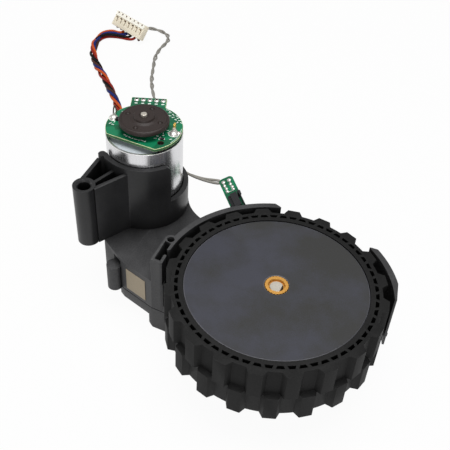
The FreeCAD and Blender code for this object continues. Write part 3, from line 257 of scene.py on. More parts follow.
LEAD_ROUTE = [
    (1.5, 38.4, 29.98), (1.1, 39.2, 17.0), (0.2, 41.0, 2.5), (-3.0, 44.8, -11.0),
    (-10.0, 53.5, -18.9), (-19.5, 61.5, -19.9), (-31.0, 77.5, -19.9), (-45.5, 92.5, -19.9),
    (-60.5, 107.5, -19.9), (-74.0, 118.8, -19.9), (-81.5, 129.5, -19.6), (-80.5, 140.32, -18.4),
    (-76.44, 148.58, -17.4),
]
MOTOR_AXIS = Vector((0.007447435, 0.024384258, 0.0))
TAB_OUT = Vector((math.cos(math.radians(113)), math.sin(math.radians(113)), 0.0))
TAB_SIDE = Vector((math.sin(math.radians(113)), -math.cos(math.radians(113)), 0.0))
TAB_MIDDLE = 0.0003
PAD_PITCH = 0.00218
LEAD_PAD_REACH = 0.0143
BOARD_UNDERSIDE = 0.0301
TABLE_GAP = 0.00003
LEAD_RADIUS = 0.00062
LEAD_LOWEST = RESTING + LEAD_RADIUS + TABLE_GAP
LEAD_TWIST = 0.0245
LEAD_REACH = 0.00105
GATHERED_AFTER = 0.012
START_LENGTH = 0.009
FAN_LENGTH = 0.021
lead_line = route_points(route_curve("lead_route", LEAD_ROUTE))
lead_run = run_lengths(lead_line)
lead_sides = side_vectors(lead_line)
lead_colours = [("orange", "cf5a28"), ("blue", "1f2b70"), ("brown", "4c3028"), ("black", "0c0b0c"),
                ("red", "96281f")]
first = next(index for index, run in enumerate(lead_run) if run > START_LENGTH)
last = next(index for index, run in enumerate(lead_run) if run > lead_run[-1] - FAN_LENGTH)

# The plug leans on the leads, with its broad windowed face turned up to the front. In the fan
# between the strand and the plug each wire lies free, with the orange one outermost.
PLUG_SIDE = Vector((math.cos(math.radians(-19.2)), math.sin(math.radians(-19.2)), 0.0))
PLUG_AHEAD = Vector((-PLUG_SIDE.y, PLUG_SIDE.x, 0.0))
PLUG_LEAN = math.radians(52)
PLUG_UP = PLUG_AHEAD * math.cos(PLUG_LEAN) + Vector((0, 0, 1)) * math.sin(PLUG_LEAN)
PLUG_OUT = Vector((0, 0, 1)) * math.cos(PLUG_LEAN) - PLUG_AHEAD * math.sin(PLUG_LEAN)
PLUG_EDGE = Vector((-0.07378, 0.14722, -0.0184))
PLUG_SIZE = (0.0208, 0.0073, 0.0032)
PLUG_PITCH = 0.00286
WAYS = 7
FIRST_WAY = -3 * PLUG_PITCH
SOCKET_UP = 0.0006
LEAD_MOUTH_UP = -0.0009
LEAD_SOCKET_OUT = -0.0023


def on_plug(along, up_face, out):
    """A place in the plug's leaning frame, in metres."""
    return PLUG_EDGE + PLUG_SIDE * along + PLUG_UP * up_face + PLUG_OUT * out


def millimetres(place):
    """A place in metres as a point of a route."""
    return tuple(1000 * part for part in place)


fan_lays = {
    "orange": (2, [(-83.9, 136.5, -20.3), (-85.0, 143.6, -20.2), (-80.9, 146.9, -19.6),
                   (-77.7, 147.4, -20.2)]),
    "blue": (3, [(-82.6, 136.8, -19.9), (-83.4, 142.6, -19.6), (-78.4, 145.2, -19.4),
                 (-75.1, 146.2, -20.3)]),
    "black": (4, [(-83.9, 134.8, -20.0), (-82.4, 140.8, -19.2), (-76.9, 144.2, -19.6),
                  (-72.4, 145.2, -20.3)]),
    "red": (5, [(-82.6, 136.0, -21.1), (-82.3, 142.2, -21.1), (-75.8, 145.0, -21.1),
                (-70.2, 145.2, -21.0)]),
    "brown": (6, [(-83.1, 138.0, -21.1), (-83.6, 143.6, -21.1), (-78.6, 147.8, -21.1),
                  (-73.0, 150.9, -21.1), (-67.4, 149.4, -21.1)]),
}
lead_wires = []
board_tails = []
plug_tails = []
for number, (colour, code) in enumerate(lead_colours):
    places = []
    pad = MOTOR_AXIS + TAB_OUT * LEAD_PAD_REACH + TAB_SIDE * (TAB_MIDDLE + PAD_PITCH * (number - 2))
    pad.z = BOARD_UNDERSIDE
    for place, run, (one, two) in zip(lead_line, lead_run, lead_sides):
        angle = 2 * math.pi * (number / 5 - run / LEAD_TWIST) + 0.4 * math.sin(run * 61 + number) - 2.2
        reach = LEAD_REACH + 0.00015 * math.sin(run * 97 + 2.1 * number)
        spot = place + one * (reach * math.cos(angle)) + two * (reach * math.sin(angle))
        gather = min(1.0, run / GATHERED_AFTER)
        gather = gather * gather * (3 - 2 * gather)
        start_spot = pad + (place - lead_line[0])
        spot = start_spot.lerp(spot, gather)
        spot.z = max(spot.z, LEAD_LOWEST)
        places.append(spot)
    material = jacket("soft PVC wire jacket " + colour, code)
    board_tails.append(wire("board_tail", places[:first + 1], LEAD_RADIUS, material))
    lead_wires.append(wire("lead_" + colour, places[first:last + 1], LEAD_RADIUS, material))
    way, lay = fan_lays[colour]
    leaving = places[last] + (places[last] - places[last - 3]).normalized() * 0.0025
    socket = on_plug(FIRST_WAY + PLUG_PITCH * way, SOCKET_UP, LEAD_SOCKET_OUT)
    mouth = on_plug(FIRST_WAY + PLUG_PITCH * way, LEAD_MOUTH_UP, LEAD_SOCKET_OUT)
    ends = [millimetres(places[last]), millimetres(leaving)] + lay + [millimetres(mouth), millimetres(socket)]
    fan_line = route_points(route_curve("fan_" + colour, ends))
    for spot in fan_line:
        spot.z = max(spot.z, LEAD_LOWEST)
    plug_tails.append(wire("plug_tail", fan_line, LEAD_RADIUS, material))
motor_leads = join(lead_wires, "motor_leads")
board_tails = join(board_tails, "motor_lead_starts")
plug_tails = join(plug_tails, "motor_lead_ends")
for piece in (motor_leads, board_tails, plug_tails):
    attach(piece, "gearbox")
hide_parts("wire_bundle")


# The plug: a seven-way housing of ivory nylon. Each way has a window with a locking tongue over
# a bronze contact, and a small square opening in the raised strip beyond it.
def moulded_plastic(name, code, roughness, grain_mm, grain_strength, shine=0.3, clouding=1.3,
                    other=None, cloud_mm=18.0, speckle=0.35, recess=1.0):
    """Injection moulded plastic: dull, with an eroded grain, fine specks and faint rub marks.
    Below 1, recess paints shade into deep corners: the base colour darkens where little light reaches."""
    material = new_material(name)
    spots = add_node(material, "ShaderNodeTexCoord")
    grain = add_node(material, "ShaderNodeTexNoise",
                     {"Scale": 1000.0 / grain_mm, "Detail": 3.0, "Roughness": 0.6},
                     {"Vector": spots.outputs["Object"]})
    clouds = add_node(material, "ShaderNodeTexNoise",
                      {"Scale": 1000.0 / cloud_mm, "Detail": 4.0, "Roughness": 0.58},
                      {"Vector": spots.outputs["Object"]})
    spread = add_node(material, "ShaderNodeMapRange", {"From Min": 0.36, "From Max": 0.64},
                      {"Value": clouds.outputs["Fac"]})
    specks = add_node(material, "ShaderNodeMapRange",
                      {"From Min": 0.3, "From Max": 0.7, "To Min": -speckle, "To Max": speckle},
                      {"Value": grain.outputs["Fac"]})
    blend = add_node(material, "ShaderNodeMath", links={0: spread.outputs[0], 1: specks.outputs[0]},
                     operation="ADD", use_clamp=True)
    light = [min(1.0, part * clouding) for part in linear(code)[:3]] + [1.0]
    dark = [part / clouding for part in linear(other or code)[:3]] + [1.0]
    tint = add_node(material, "ShaderNodeMixRGB", {1: dark, 2: light}, {0: blend.outputs[0]})
    # Painted shade: ambient occlusion darkens the base colour in corners and pockets.
    if recess < 1.0:
        openness = add_node(material, "ShaderNodeAmbientOcclusion", {"Distance": 0.012}, samples=8)
        depth = add_node(material, "ShaderNodeMapRange",
                         {"From Min": 0.3, "From Max": 0.68, "To Min": recess, "To Max": 1.0},
                         {"Value": openness.outputs["AO"]})
        tint = add_node(material, "ShaderNodeMixRGB", {0: 1.0},
                        {1: tint.outputs[0], 2: depth.outputs[0]}, blend_type="MULTIPLY")
    rough = add_node(material, "ShaderNodeMapRange",
                     {"To Min": roughness - 0.07, "To Max": roughness + 0.09},
                     {"Value": clouds.outputs["Fac"]})
    bump = add_node(material, "ShaderNodeBump", {"Strength": grain_strength, "Distance": 0.00006},
                    {"Height": grain.outputs["Fac"]})
    skin = add_node(material, "ShaderNodeBsdfPrincipled", {"IOR": 1.5, "Specular IOR Level": shine},
                    {"Base Color": tint.outputs[0], "Roughness": rough.outputs[0], "Normal": bump.outputs[0]})
    add_node(material, "ShaderNodeOutputMaterial", links={"Surface": skin.outputs[0]})
    return material


def finish_piece(name, place, turn=0.0):
    """Puts the piece modelled at the origin in its place, with its transform applied."""
    piece = bpy.context.active_object
    piece.name = name
    piece.location = place
    piece.rotation_euler = (0.0, 0.0, math.radians(turn))
    bpy.ops.object.transform_apply(location=True, rotation=True, scale=True)
    return piece


def chip_block(name, place, turn, size, edge=0.00008):
    """A block with rounded edges."""
    bpy.ops.object.select_all(action="DESELECT")
    bpy.ops.mesh.primitive_cube_add(size=1.0)
    block = bpy.context.active_object
    block.scale = size
    bpy.ops.object.transform_apply(location=False, rotation=False, scale=True)
    if edge:
        bpy.ops.object.mode_set(mode="EDIT")
        bpy.ops.mesh.select_all(action="SELECT")
        bpy.ops.mesh.bevel(offset=edge, segments=2)
        bpy.ops.object.mode_set(mode="OBJECT")
    return finish_piece(name, place, turn)


def lean(piece, axes, place):
    """Turns a piece modelled at the origin into a leaning frame and moves it to its place."""
    bpy.ops.object.select_all(action="DESELECT")
    piece.select_set(True)
    bpy.context.view_layer.objects.active = piece
    piece.matrix_world = Matrix.Translation(place) @ Matrix(axes).transposed().to_4x4()
    bpy.ops.object.transform_apply(location=True, rotation=True, scale=True)
    return piece


def plug_block(name, along, up_face, out, size, edge=0.0001):
    """A block that lies square to the leaning plug."""
    block = chip_block(name, Vector(), 0.0, size, edge)
    return lean(block, (PLUG_SIDE, PLUG_UP, PLUG_OUT), on_plug(along, up_face, out))


def cut_away(piece, cutter):
    """Takes the cutter's shape out of the piece."""
    bpy.context.view_layer.objects.active = piece
    recess = piece.modifiers.new("recess", "BOOLEAN")
    recess.object = cutter
    recess.operation = "DIFFERENCE"
    bpy.ops.object.modifier_apply(modifier="recess")
    bpy.data.objects.remove(cutter)


def copy_moved(piece, shift):
    """A copy of a piece with a mesh of its own, moved by the shift."""
    copy = piece.copy()
    copy.data = piece.data.copy()
    copy.data.transform(Matrix.Translation(shift))
    bpy.context.collection.objects.link(copy)
    return copy


def add_piece(piece, material):
    """Gives a piece of the scene alone its material and the gearbox to ride on."""
    piece.data.materials.clear()
    piece.data.materials.append(material)
    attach(piece, "gearbox")


# Unfilled nylon is waxy and even. The raised strip is painted a whiter ivory, a painted light on its
# tilted face, and the bronze deep in its slits is painted a dull dark brown, a painted shade.
nylon = moulded_plastic("ivory nylon", "ebe2cc", 0.45, 0.5, 0.08, shine=0.4, clouding=1.05,
                        speckle=0.06)
nylon_strip_painted_light = moulded_plastic("ivory nylon, raised strip, painted light", "fffaee", 0.45, 0.5, 0.06, shine=0.4,
                              clouding=1.03, speckle=0.05)
bronze = moulded_plastic("bronze contact, painted shade", "5c4232", 0.4, 0.4, 0.1, shine=0.2, speckle=0.1)
WINDOW_UP = 0.0034
OPENING_UP = 0.0067


def row_of(piece):
    """The first way's piece, with its copies at the other ways."""
    return [piece] + [copy_moved(piece, PLUG_SIDE * (PLUG_PITCH * way)) for way in range(1, WAYS)]


plug_housing = plug_block("plug_housing", 0.0, PLUG_SIZE[1] / 2, -PLUG_SIZE[2] / 2, PLUG_SIZE, 0.0003)
strip = plug_block("plug_strip", 0.0, 0.0062, 0.0001, (0.0204, 0.0021, 0.0005), 0.00012)
notch = plug_block("end_notch", -PLUG_SIZE[0] / 2, 0.0042, 0.0, (0.0005, 0.0014, 0.0024), 0.0)
window = plug_block("window", FIRST_WAY, WINDOW_UP, 0.0, (0.0017, 0.0026, 0.0016), 0.0)
tongue = plug_block("tongue", FIRST_WAY - 0.00034, 0.003, -0.00052, (0.00104, 0.0021, 0.001))
contact = plug_block("contact", FIRST_WAY, WINDOW_UP, -0.00062, (0.00165, 0.00255, 0.0002), 0.00003)
tip = plug_block("contact_tip", FIRST_WAY, OPENING_UP, 0.00012, (0.00078, 0.00078, 0.0003), 0.00003)
opening = plug_block("opening", FIRST_WAY, OPENING_UP, 0.0004, (0.0008, 0.0008, 0.0005), 0.0)
cut_away(plug_housing, join([notch] + row_of(window), "windows"))
cut_away(strip, join(row_of(opening), "openings"))
plug_housing = join([plug_housing] + row_of(tongue), "plug_housing")
bpy.ops.object.shade_smooth_by_angle(angle=math.radians(25))
add_piece(plug_housing, nylon)
add_piece(strip, nylon_strip_painted_light)
plug_contacts = join(row_of(contact) + row_of(tip), "plug_contacts")
add_piece(plug_contacts, bronze)
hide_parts("connector_housing")
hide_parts("connector_contacts")


# The switch lead: two thin grey wires twisted as a pair. It leaves the plug from below, turns
# round behind it, lies along the table and climbs over the housing to the switch board.
PAIR_ROUTE = [
    (-77.0, 155.9, -21.1), (-72.0, 158.2, -21.0), (-67.0, 160.0, -20.9), (-61.5, 160.2, -20.7),
    (-55.5, 158.4, -20.7), (-52.4, 153.0, -20.7), (-52.9, 145.0, -20.7), (-51.0, 136.5, -20.7),
    (-47.3, 128.0, -20.7), (-43.3, 119.0, -20.7), (-36.5, 108.0, -20.7), (-25.5, 95.5, -20.7),
    (-16.5, 81.5, -20.7), (-7.0, 70.0, -20.7), (0.0, 59.5, -20.7), (4.6, 50.5, -18.0), (7.0, 45.8, -9.0),
    (9.6, 43.3, 1.4), (19.9, 40.3, 2.6), (25.5, 40.84, 3.5),
]
SWITCH_START = Vector((0.02813, 0.04273, 0.00485))
SWITCH_ALONG = Vector((math.cos(math.radians(312)), math.sin(math.radians(312)), 0.0))
LEAN = math.radians(20)
SIDE_FLAT = Vector((math.cos(math.radians(42)), math.sin(math.radians(42)), 0.0))
SWITCH_ACROSS = SIDE_FLAT * math.cos(LEAN) + Vector((0, 0, 1)) * math.sin(LEAN)
SWITCH_NORMAL = Vector((0, 0, 1)) * math.cos(LEAN) - SIDE_FLAT * math.sin(LEAN)


def switch_place(along, across, height):
    """A place in the leaning frame of the switch board, from millimetres."""
    return SWITCH_START + (SWITCH_ALONG * along + SWITCH_ACROSS * across + SWITCH_NORMAL * height) / 1000


pair_line = route_points(route_curve("pair_route", PAIR_ROUTE))
pair_run = run_lengths(pair_line)
pair_sides = side_vectors(pair_line)
PAIR_RADIUS = 0.00046
PAIR_LOWEST = RESTING + PAIR_RADIUS + TABLE_GAP
PAIR_TWIST = 0.0118
PAIR_LOOSE_TWIST = 0.045
PAIR_MOUTH_UP = -0.0006
PAIR_SOCKET_OUT = -0.0026
PAIR_MOUTH_OUT = -0.0027
SWITCH_PAD_ALONG = 1.75
SWITCH_PADS_ACROSS = (-1.2, 0.95)
easing = pair_run[-1] - 0.024
pair_wires = []
pair_tails = []
grey = jacket("soft PVC wire jacket grey", "9a9790")
for number, across in enumerate(SWITCH_PADS_ACROSS):
    places = []
    for place, run, (one, two) in zip(pair_line, pair_run, pair_sides):
        turns = min(run, easing) / PAIR_TWIST + max(0.0, run - easing) / PAIR_LOOSE_TWIST
        angle = math.pi * number + 2 * math.pi * turns
        reach = PAIR_RADIUS + 0.00012 * math.sin(run * 310)
        spot = place + one * (reach * math.cos(angle)) + two * (reach * math.sin(angle))
        spot.z = max(spot.z, PAIR_LOWEST)
        places.append(spot)
    pair_wires.append(wire("pair_wire", places, PAIR_RADIUS, grey))
    leaving = places[-1] + (places[-1] - places[-4]).normalized() * 0.0015
    pad = switch_place(SWITCH_PAD_ALONG, across, -0.9)
    under = switch_place(0.4, across, -1.6)
    tail = [millimetres(spot) for spot in (places[-1], leaving, under, pad)]
    pair_tails.append(wire("switch_tail", route_points(route_curve("switch_tail", tail)), PAIR_RADIUS, grey))
    socket = on_plug(FIRST_WAY + PLUG_PITCH * number, SOCKET_UP, PAIR_SOCKET_OUT)
    mouth = on_plug(FIRST_WAY + PLUG_PITCH * number, PAIR_MOUTH_UP, PAIR_MOUTH_OUT)
    behind = mouth + PLUG_AHEAD * 0.002
    below = places[0] - (places[3] - places[0]).normalized() * 0.0014
    tail = [millimetres(spot) for spot in (socket, mouth, behind, below, places[0])]
    tail_line = route_points(route_curve("socket_tail", tail))
    for spot in tail_line:
        spot.z = max(spot.z, PAIR_LOWEST)
    pair_tails.append(wire("socket_tail", tail_line, PAIR_RADIUS, grey))
switch_lead = join(pair_wires, "switch_lead")
pair_tails = join(pair_tails, "switch_lead_ends")
for piece in (switch_lead, pair_tails):
    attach(piece, "gearbox")
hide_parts("sensor_lead")


# The arm's mouldings: gearbox housing, its cover and the motor bracket, injection moulded in
# black ABS with a fine spark-eroded grain. Their edges have small radii that catch the light.
SHARP_FROM = math.radians(25)


def take_solid(node, name, width, segments=2, edge_highlight_or_laminate=False):
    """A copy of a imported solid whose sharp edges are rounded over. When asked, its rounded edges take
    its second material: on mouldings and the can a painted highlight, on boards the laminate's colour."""
    source = frame["nodes"][node]
    bpy.ops.object.select_all(action="DESELECT")
    source.select_set(True)
    bpy.context.view_layer.objects.active = source
    bpy.ops.object.duplicate()
    piece = bpy.context.active_object
    bpy.ops.object.parent_clear(type="CLEAR_KEEP_TRANSFORM")
    piece.name = name
    piece.data.materials.clear()
    if edge_highlight_or_laminate:
        piece.data.materials.append(None)
        piece.data.materials.append(None)
    bpy.ops.object.mode_set(mode="EDIT")
    bpy.ops.mesh.select_all(action="SELECT")
    bpy.ops.mesh.remove_doubles(threshold=0.000002)
    bpy.ops.mesh.dissolve_limited(angle_limit=math.radians(0.5))
    bpy.ops.object.mode_set(mode="OBJECT")
    rounding = piece.modifiers.new("rounded edges", "BEVEL")
    rounding.width = width
    rounding.segments = segments
    rounding.limit_method = "ANGLE"
    rounding.angle_limit = SHARP_FROM
    rounding.use_clamp_overlap = True
    if edge_highlight_or_laminate:
        rounding.material = 1
    bpy.ops.object.modifier_apply(modifier="rounded edges")
    bpy.ops.object.shade_smooth_by_angle(angle=SHARP_FROM)
    return piece


def dress(piece, material, body, node, edge=None):
    """Gives a finished copy its material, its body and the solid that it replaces."""
    if edge:
        piece.data.materials[0] = material
        piece.data.materials[1] = edge
    else:
        piece.data.materials.append(material)
    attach(piece, body)
    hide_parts(node)


# Eroded moulds leave ABS matt and faintly speckled. The rounded edges take a lighter grey, a
# painted highlight, recess paints shade into the pockets, and the bracket is a darker, glossier black.
black_abs = moulded_plastic("moulded black ABS, eroded grain", "3b3b3c", 0.46, 0.45, 0.35,
                            shine=0.25, recess=0.15, speckle=0.5)
black_edge_highlight = moulded_plastic("moulded black ABS, painted edge highlight", "4c4c4e", 0.42, 0.5, 0.1,
                             shine=0.35, recess=0.2)
bracket_abs = moulded_plastic("moulded black ABS, bracket", "232324", 0.36, 0.45, 0.25,
                              shine=0.35, recess=0.15)
housing = take_solid("upper_housing", "gearbox_housing", 0.0002, edge_highlight_or_laminate=True)
dress(housing, black_abs, "gearbox", "upper_housing", black_edge_highlight)
cover = take_solid("lower_cover", "gearbox_cover", 0.0002, edge_highlight_or_laminate=True)
dress(cover, black_abs, "gearbox", "lower_cover", black_edge_highlight)
bracket = take_solid("swing_bracket", "motor_bracket", 0.00022, edge_highlight_or_laminate=True)
dress(bracket, bracket_abs, "gearbox", "swing_bracket", black_edge_highlight)


# The wheel: a hard rim under a press-fitted cap, and an airless tyre of black rubber whose
# slots stand between two rings, with two staggered rows of tread blocks. Rubber looks deep black
# with a dull bloom, and the cap is a satin grey that is cloudy from handling.
# The rubber's rounded edges take a lighter grey, a painted highlight, and recess paints shade into the tyre's
# slots and pockets.
rubber = moulded_plastic("moulded black rubber, dull bloom", "131313", 0.62, 0.4, 0.5, shine=0.18,
                         clouding=1.4, speckle=0.8, recess=0.15)
rubber_edge_highlight = moulded_plastic("moulded black rubber, painted edge highlight", "272727", 0.6, 0.4, 0.3,
                              shine=0.2, recess=0.2)
cap_plastic = moulded_plastic("moulded dark grey ABS, fine satin", "3d3e46", 0.62, 0.3, 0.2,
                              shine=0.22, clouding=1.06, other="363635", cloud_mm=17.0, speckle=0.3)
# The cap's rounded rim takes a lighter grey: a painted highlight along its edge.
cap_edge_highlight = moulded_plastic("moulded dark grey ABS, painted rim highlight", "505055", 0.4, 0.5, 0.1)
rim_plastic = moulded_plastic("moulded black rim plastic", "1d1d1f", 0.5, 0.5, 0.25)
tyre = take_solid("tyre", "rubber_tyre", 0.00026, edge_highlight_or_laminate=True)
dress(tyre, rubber, "wheel", "tyre", rubber_edge_highlight)
cap = take_solid("wheel_cap", "wheel_cap_disc", 0.0003, edge_highlight_or_laminate=True)
dress(cap, cap_plastic, "wheel", "wheel_cap", cap_edge_highlight)
rim = take_solid("wheel_rim", "wheel_rim_moulding", 0.0002)
dress(rim, rim_plastic, "wheel", "wheel_rim")


# Metal parts: the deep-drawn motor can, its plated end plate, turned brass and ground steel. The
# can mirrors its surroundings in upright streaks, zinc is a paler and duller blue, brass is warm.
STREAKS_PER_M = 40.0


def metal(name, code, roughness, brush_mm, metallic=1.0):
    """Bare worked metal, with fine drawing or turning lines along the axis."""
    material = new_material(name)
    spots = add_node(material, "ShaderNodeTexCoord")
    stretch = add_node(material, "ShaderNodeMapping",
                       {"Scale": (1000 / brush_mm, 1000 / brush_mm, STREAKS_PER_M)},
                       {"Vector": spots.outputs["Object"]})
    lines = add_node(material, "ShaderNodeTexNoise", {"Scale": 1.0, "Detail": 3.0},
                     {"Vector": stretch.outputs[0]})
    rough = add_node(material, "ShaderNodeMapRange",
                     {"To Min": roughness * 0.7, "To Max": roughness * 1.35},
                     {"Value": lines.outputs["Fac"]})
    bright = linear(code)
    dull = [part * 0.8 for part in bright[:3]] + [1.0]
    tint = add_node(material, "ShaderNodeMixRGB", {1: dull, 2: bright}, {0: lines.outputs["Fac"]})
    bump = add_node(material, "ShaderNodeBump", {"Strength": 0.06, "Distance": 0.00003},
                    {"Height": lines.outputs["Fac"]})
    skin = add_node(material, "ShaderNodeBsdfPrincipled", {"Metallic": metallic},
                    {"Base Color": tint.outputs[0], "Roughness": rough.outputs[0], "Normal": bump.outputs[0]})
    add_node(material, "ShaderNodeOutputMaterial", links={"Surface": skin.outputs[0]})
    return material


can_steel = metal("bright drawn steel, nickel plated", "e8e8ea", 0.24, 0.45)
# The can's rounded rim and edges take a whiter, less metallic colour: a painted highlight on the crimped rim.
can_rim_highlight = metal("crimped rim, painted highlight", "f4f4f2", 0.35, 0.6, metallic=0.7)
zinc = metal("zinc plated end plate", "dbe3ea", 0.5, 0.6, metallic=0.3)
steel = metal("ground steel", "cfc9bd", 0.34, 0.3, metallic=0.6)
brass = metal("turned brass", "d39d4e", 0.42, 0.3, metallic=0.8)
can = take_solid("motor_can", "drawn_can", 0.0003, segments=3, edge_highlight_or_laminate=True)
dress(can, can_steel, "gearbox", "motor_can", can_rim_highlight)
dress(take_solid("motor_end_plate", "end_plate", 0.0002), zinc, "gearbox", "motor_end_plate")
dress(take_solid("motor_shaft", "rotor_shaft", 0.0002), steel, "rotor", "motor_shaft")
dress(take_solid("output_shaft", "axle_shaft", 0.0003), steel, "wheel", "output_shaft")


def lathe(name, profile, segments):
    """A turned piece about the upright axis at the origin, from its closed section's corners."""
    bpy.ops.object.select_all(action="DESELECT")
    bpy.ops.mesh.primitive_circle_add(vertices=segments, radius=profile[0][0] / 1000, fill_type="NOTHING")
    bpy.ops.object.mode_set(mode="EDIT")
    bpy.ops.mesh.select_all(action="SELECT")
    bpy.ops.transform.translate(value=(0.0, 0.0, profile[0][1] / 1000))
    for before, after in zip(profile, profile[1:] + profile[:1]):
        rise = (after[1] - before[1]) / 1000
        wider = after[0] / before[0]
        bpy.ops.mesh.extrude_region_move(TRANSFORM_OT_translate={"value": (0.0, 0.0, rise)})
        bpy.ops.transform.resize(value=(wider, wider, 1.0))
    bpy.ops.mesh.select_all(action="SELECT")
    bpy.ops.mesh.remove_doubles(threshold=0.000002)
    bpy.ops.mesh.normals_make_consistent(inside=False)
    bpy.ops.object.mode_set(mode="OBJECT")
    bpy.ops.object.shade_smooth_by_angle(angle=math.radians(30))
    turned = bpy.context.active_object
    turned.name = name
    return turned


# The brass insert is a turned bush: its flange is knurled round the edge, and the shaft's end
# stands in its shallow mouth.
WHEEL_AXLE = Vector((0.0643, 0.0, 0.0))
KNURL_SEGMENTS = 96
KNURL_ROOT = 0.965
INSERT_PROFILE = [
    (2.06, 2.6), (3.3, 2.6), (3.3, 8.4), (3.56, 8.4), (3.56, 10.25), (3.46, 10.36), (2.55, 10.36),
    (2.42, 10.26), (2.38, 9.5), (2.06, 9.5),
]
insert = lathe("brass_insert", INSERT_PROFILE, KNURL_SEGMENTS)
for vertex in insert.data.vertices:
    turned_share = math.atan2(vertex.co.y, vertex.co.x) / (2 * math.pi)
    tooth = round(turned_share * KNURL_SEGMENTS) % 4
    if vertex.co.xy.length > 0.0034 and tooth >= 2:
        vertex.co.xy *= KNURL_ROOT
finish_piece("brass_insert", WHEEL_AXLE)
dress(insert, brass, "wheel", "hub_insert")
for node in ("cover_screws", "gear_pins", "axle_bearings", "motor_screws", "armature"):
    frame["nodes"][node].data.materials.clear()
    frame["nodes"][node].data.materials.append(steel)
for node in ("motor_pinion", "commutator"):
    frame["nodes"][node].data.materials.clear()
    frame["nodes"][node].data.materials.append(brass)


# The encoder board: glass-fibre laminate under green solder mask, with a pale sawn edge. Five
# tinned pads stand in its tab, and a few small parts sit round the sensor magnet.
BOARD_TOP = 0.03116


def solder_mask(name, code, pour_code):
    """Green lacquer over copper: lighter where the copper pour lies beneath it, fairly glossy."""
    material = new_material(name)
    spots = add_node(material, "ShaderNodeTexCoord")
    pour = add_node(material, "ShaderNodeTexNoise", {"Scale": 210.0, "Detail": 1.0},
                    {"Vector": spots.outputs["Object"]})
    step = add_node(material, "ShaderNodeMapRange", {"From Min": 0.48, "From Max": 0.52},
                    {"Value": pour.outputs["Fac"]})
    tint = add_node(material, "ShaderNodeMixRGB", {1: linear(code), 2: linear(pour_code)},
                    {0: step.outputs[0]})
    bump = add_node(material, "ShaderNodeBump", {"Strength": 0.25, "Distance": 0.00004},
                    {"Height": step.outputs[0]})
    skin = add_node(material, "ShaderNodeBsdfPrincipled",
                    {"Roughness": 0.34, "IOR": 1.5, "Specular IOR Level": 0.4},
                    {"Base Color": tint.outputs[0], "Normal": bump.outputs[0]})
    add_node(material, "ShaderNodeOutputMaterial", links={"Surface": skin.outputs[0]})
    return material


def with_sawn_edge(piece, edge_material, hole=None):
    """Gives the faces round a board's edge the laminate's colour, and a hole's wall a dark one, painted
    shade, as the third and fourth materials after the mask and the rounded edge."""
    piece.data.materials.append(edge_material)
    piece.data.materials.append(hole_wall_shade)
    flat = max(piece.data.polygons, key=lambda face: face.area).normal.copy()
    for face in piece.data.polygons:
        if hole and (face.center.xy - hole.xy).length < 0.0012:
            face.material_index = 3
        elif abs(face.normal.dot(flat)) < 0.3:
            face.material_index = 2


# Sawn through, the laminate is a dusty pale green, and its hole walls are painted dark, a painted shade.
green_mask = solder_mask("green solder mask", "015c3b", "0a754e")
laminate = moulded_plastic("sawn laminate, mask run over", "3f6a45", 0.6, 0.3, 0.3)
pale_edge = moulded_plastic("bare laminate at the edge", "d9dfae", 0.6, 0.3, 0.2)
hole_wall_shade = moulded_plastic("hole wall, painted shade", "2c2418", 0.7, 0.3, 0.2)
encoder_board = take_solid("encoder_board", "encoder_circuit", 0.00024, edge_highlight_or_laminate=True)
dress(encoder_board, green_mask, "gearbox", "encoder_board", pale_edge)
with_sawn_edge(encoder_board, laminate, MOTOR_AXIS + Vector((0.0085, -0.005, 0.0)))


def placed(centre, reach, degrees, height):
    """A place on the encoder board, from the motor's axis."""
    angle = math.radians(degrees)
    return Vector((centre.x + reach * math.cos(angle), centre.y + reach * math.sin(angle), height))


def solder_dome(name, place, radius, height):
    """A solder joint: a round dome that runs out thin at its foot."""
    bpy.ops.object.select_all(action="DESELECT")
    bpy.ops.mesh.primitive_uv_sphere_add(segments=20, ring_count=12, radius=radius)
    bpy.ops.object.mode_set(mode="EDIT")
    bpy.ops.mesh.select_all(action="SELECT")
    bpy.ops.mesh.bisect(plane_co=(0, 0, 0), plane_no=(0, 0, 1), clear_inner=True, use_fill=True)
    bpy.ops.object.mode_set(mode="OBJECT")
    dome = bpy.context.active_object
    for vertex in dome.data.vertices:
        share = vertex.co.z / radius
        vertex.co.z = height * share ** 1.5
    bpy.ops.object.shade_smooth_by_angle(angle=math.radians(60))
    return finish_piece(name, place)


# Solder sets with a bright, slightly rippled skin, and the wires' cut ends in it look dark.
tin = metal("bright solder", "e2e0da", 0.3, 0.9, metallic=0.75)
copper_tips = metal("tinned copper strands", "3e2f28", 0.45, 0.2, metallic=0.5)
PAD_REACH = 0.01442
MARK_REACH = PAD_REACH - 0.0019
DOME_HEIGHT = 0.0004
first_pad = MOTOR_AXIS + TAB_OUT * PAD_REACH + TAB_SIDE * (TAB_MIDDLE - 2 * PAD_PITCH)
first_pad.z = BOARD_TOP - 0.00001
first_dome = solder_dome("pad_dome", first_pad, 0.00088, DOME_HEIGHT)
domes = [first_dome] + [copy_moved(first_dome, TAB_SIDE * (PAD_PITCH * number)) for number in range(1, 5)]
tips = []
marks = []
for number in range(5):
    side = TAB_SIDE * (TAB_MIDDLE + PAD_PITCH * (number - 2))
    end = MOTOR_AXIS + TAB_OUT * PAD_REACH + side
    end.z = first_pad.z + DOME_HEIGHT
    tips.append(chip_block("wire_tip", end, 40.0 + 25.0 * number, (0.00066, 0.00056, 0.0005), 0.0001))
    mark = MOTOR_AXIS + TAB_OUT * MARK_REACH + side
    mark.z = BOARD_TOP
    mark_turn = 20.0 + 10.0 * (number % 3)
    marks.append(chip_block("pad_mark", mark, mark_turn, (0.00095, 0.00055, 0.00004), 0.00001))
add_piece(join(domes, "pad_solder"), tin)
add_piece(join(tips, "pad_wire_tips"), copper_tips)

# The printed marks are plain outlines beside the parts: short bars and three arcs, screen
# printed in matt white ink, and no lettering.
ink = moulded_plastic("white screen ink", "e2ebe4", 0.6, 0.2, 0.1, clouding=1.05, speckle=0.1)


INK_WIDTH = 0.00014
INK_THICKNESS = 0.00003


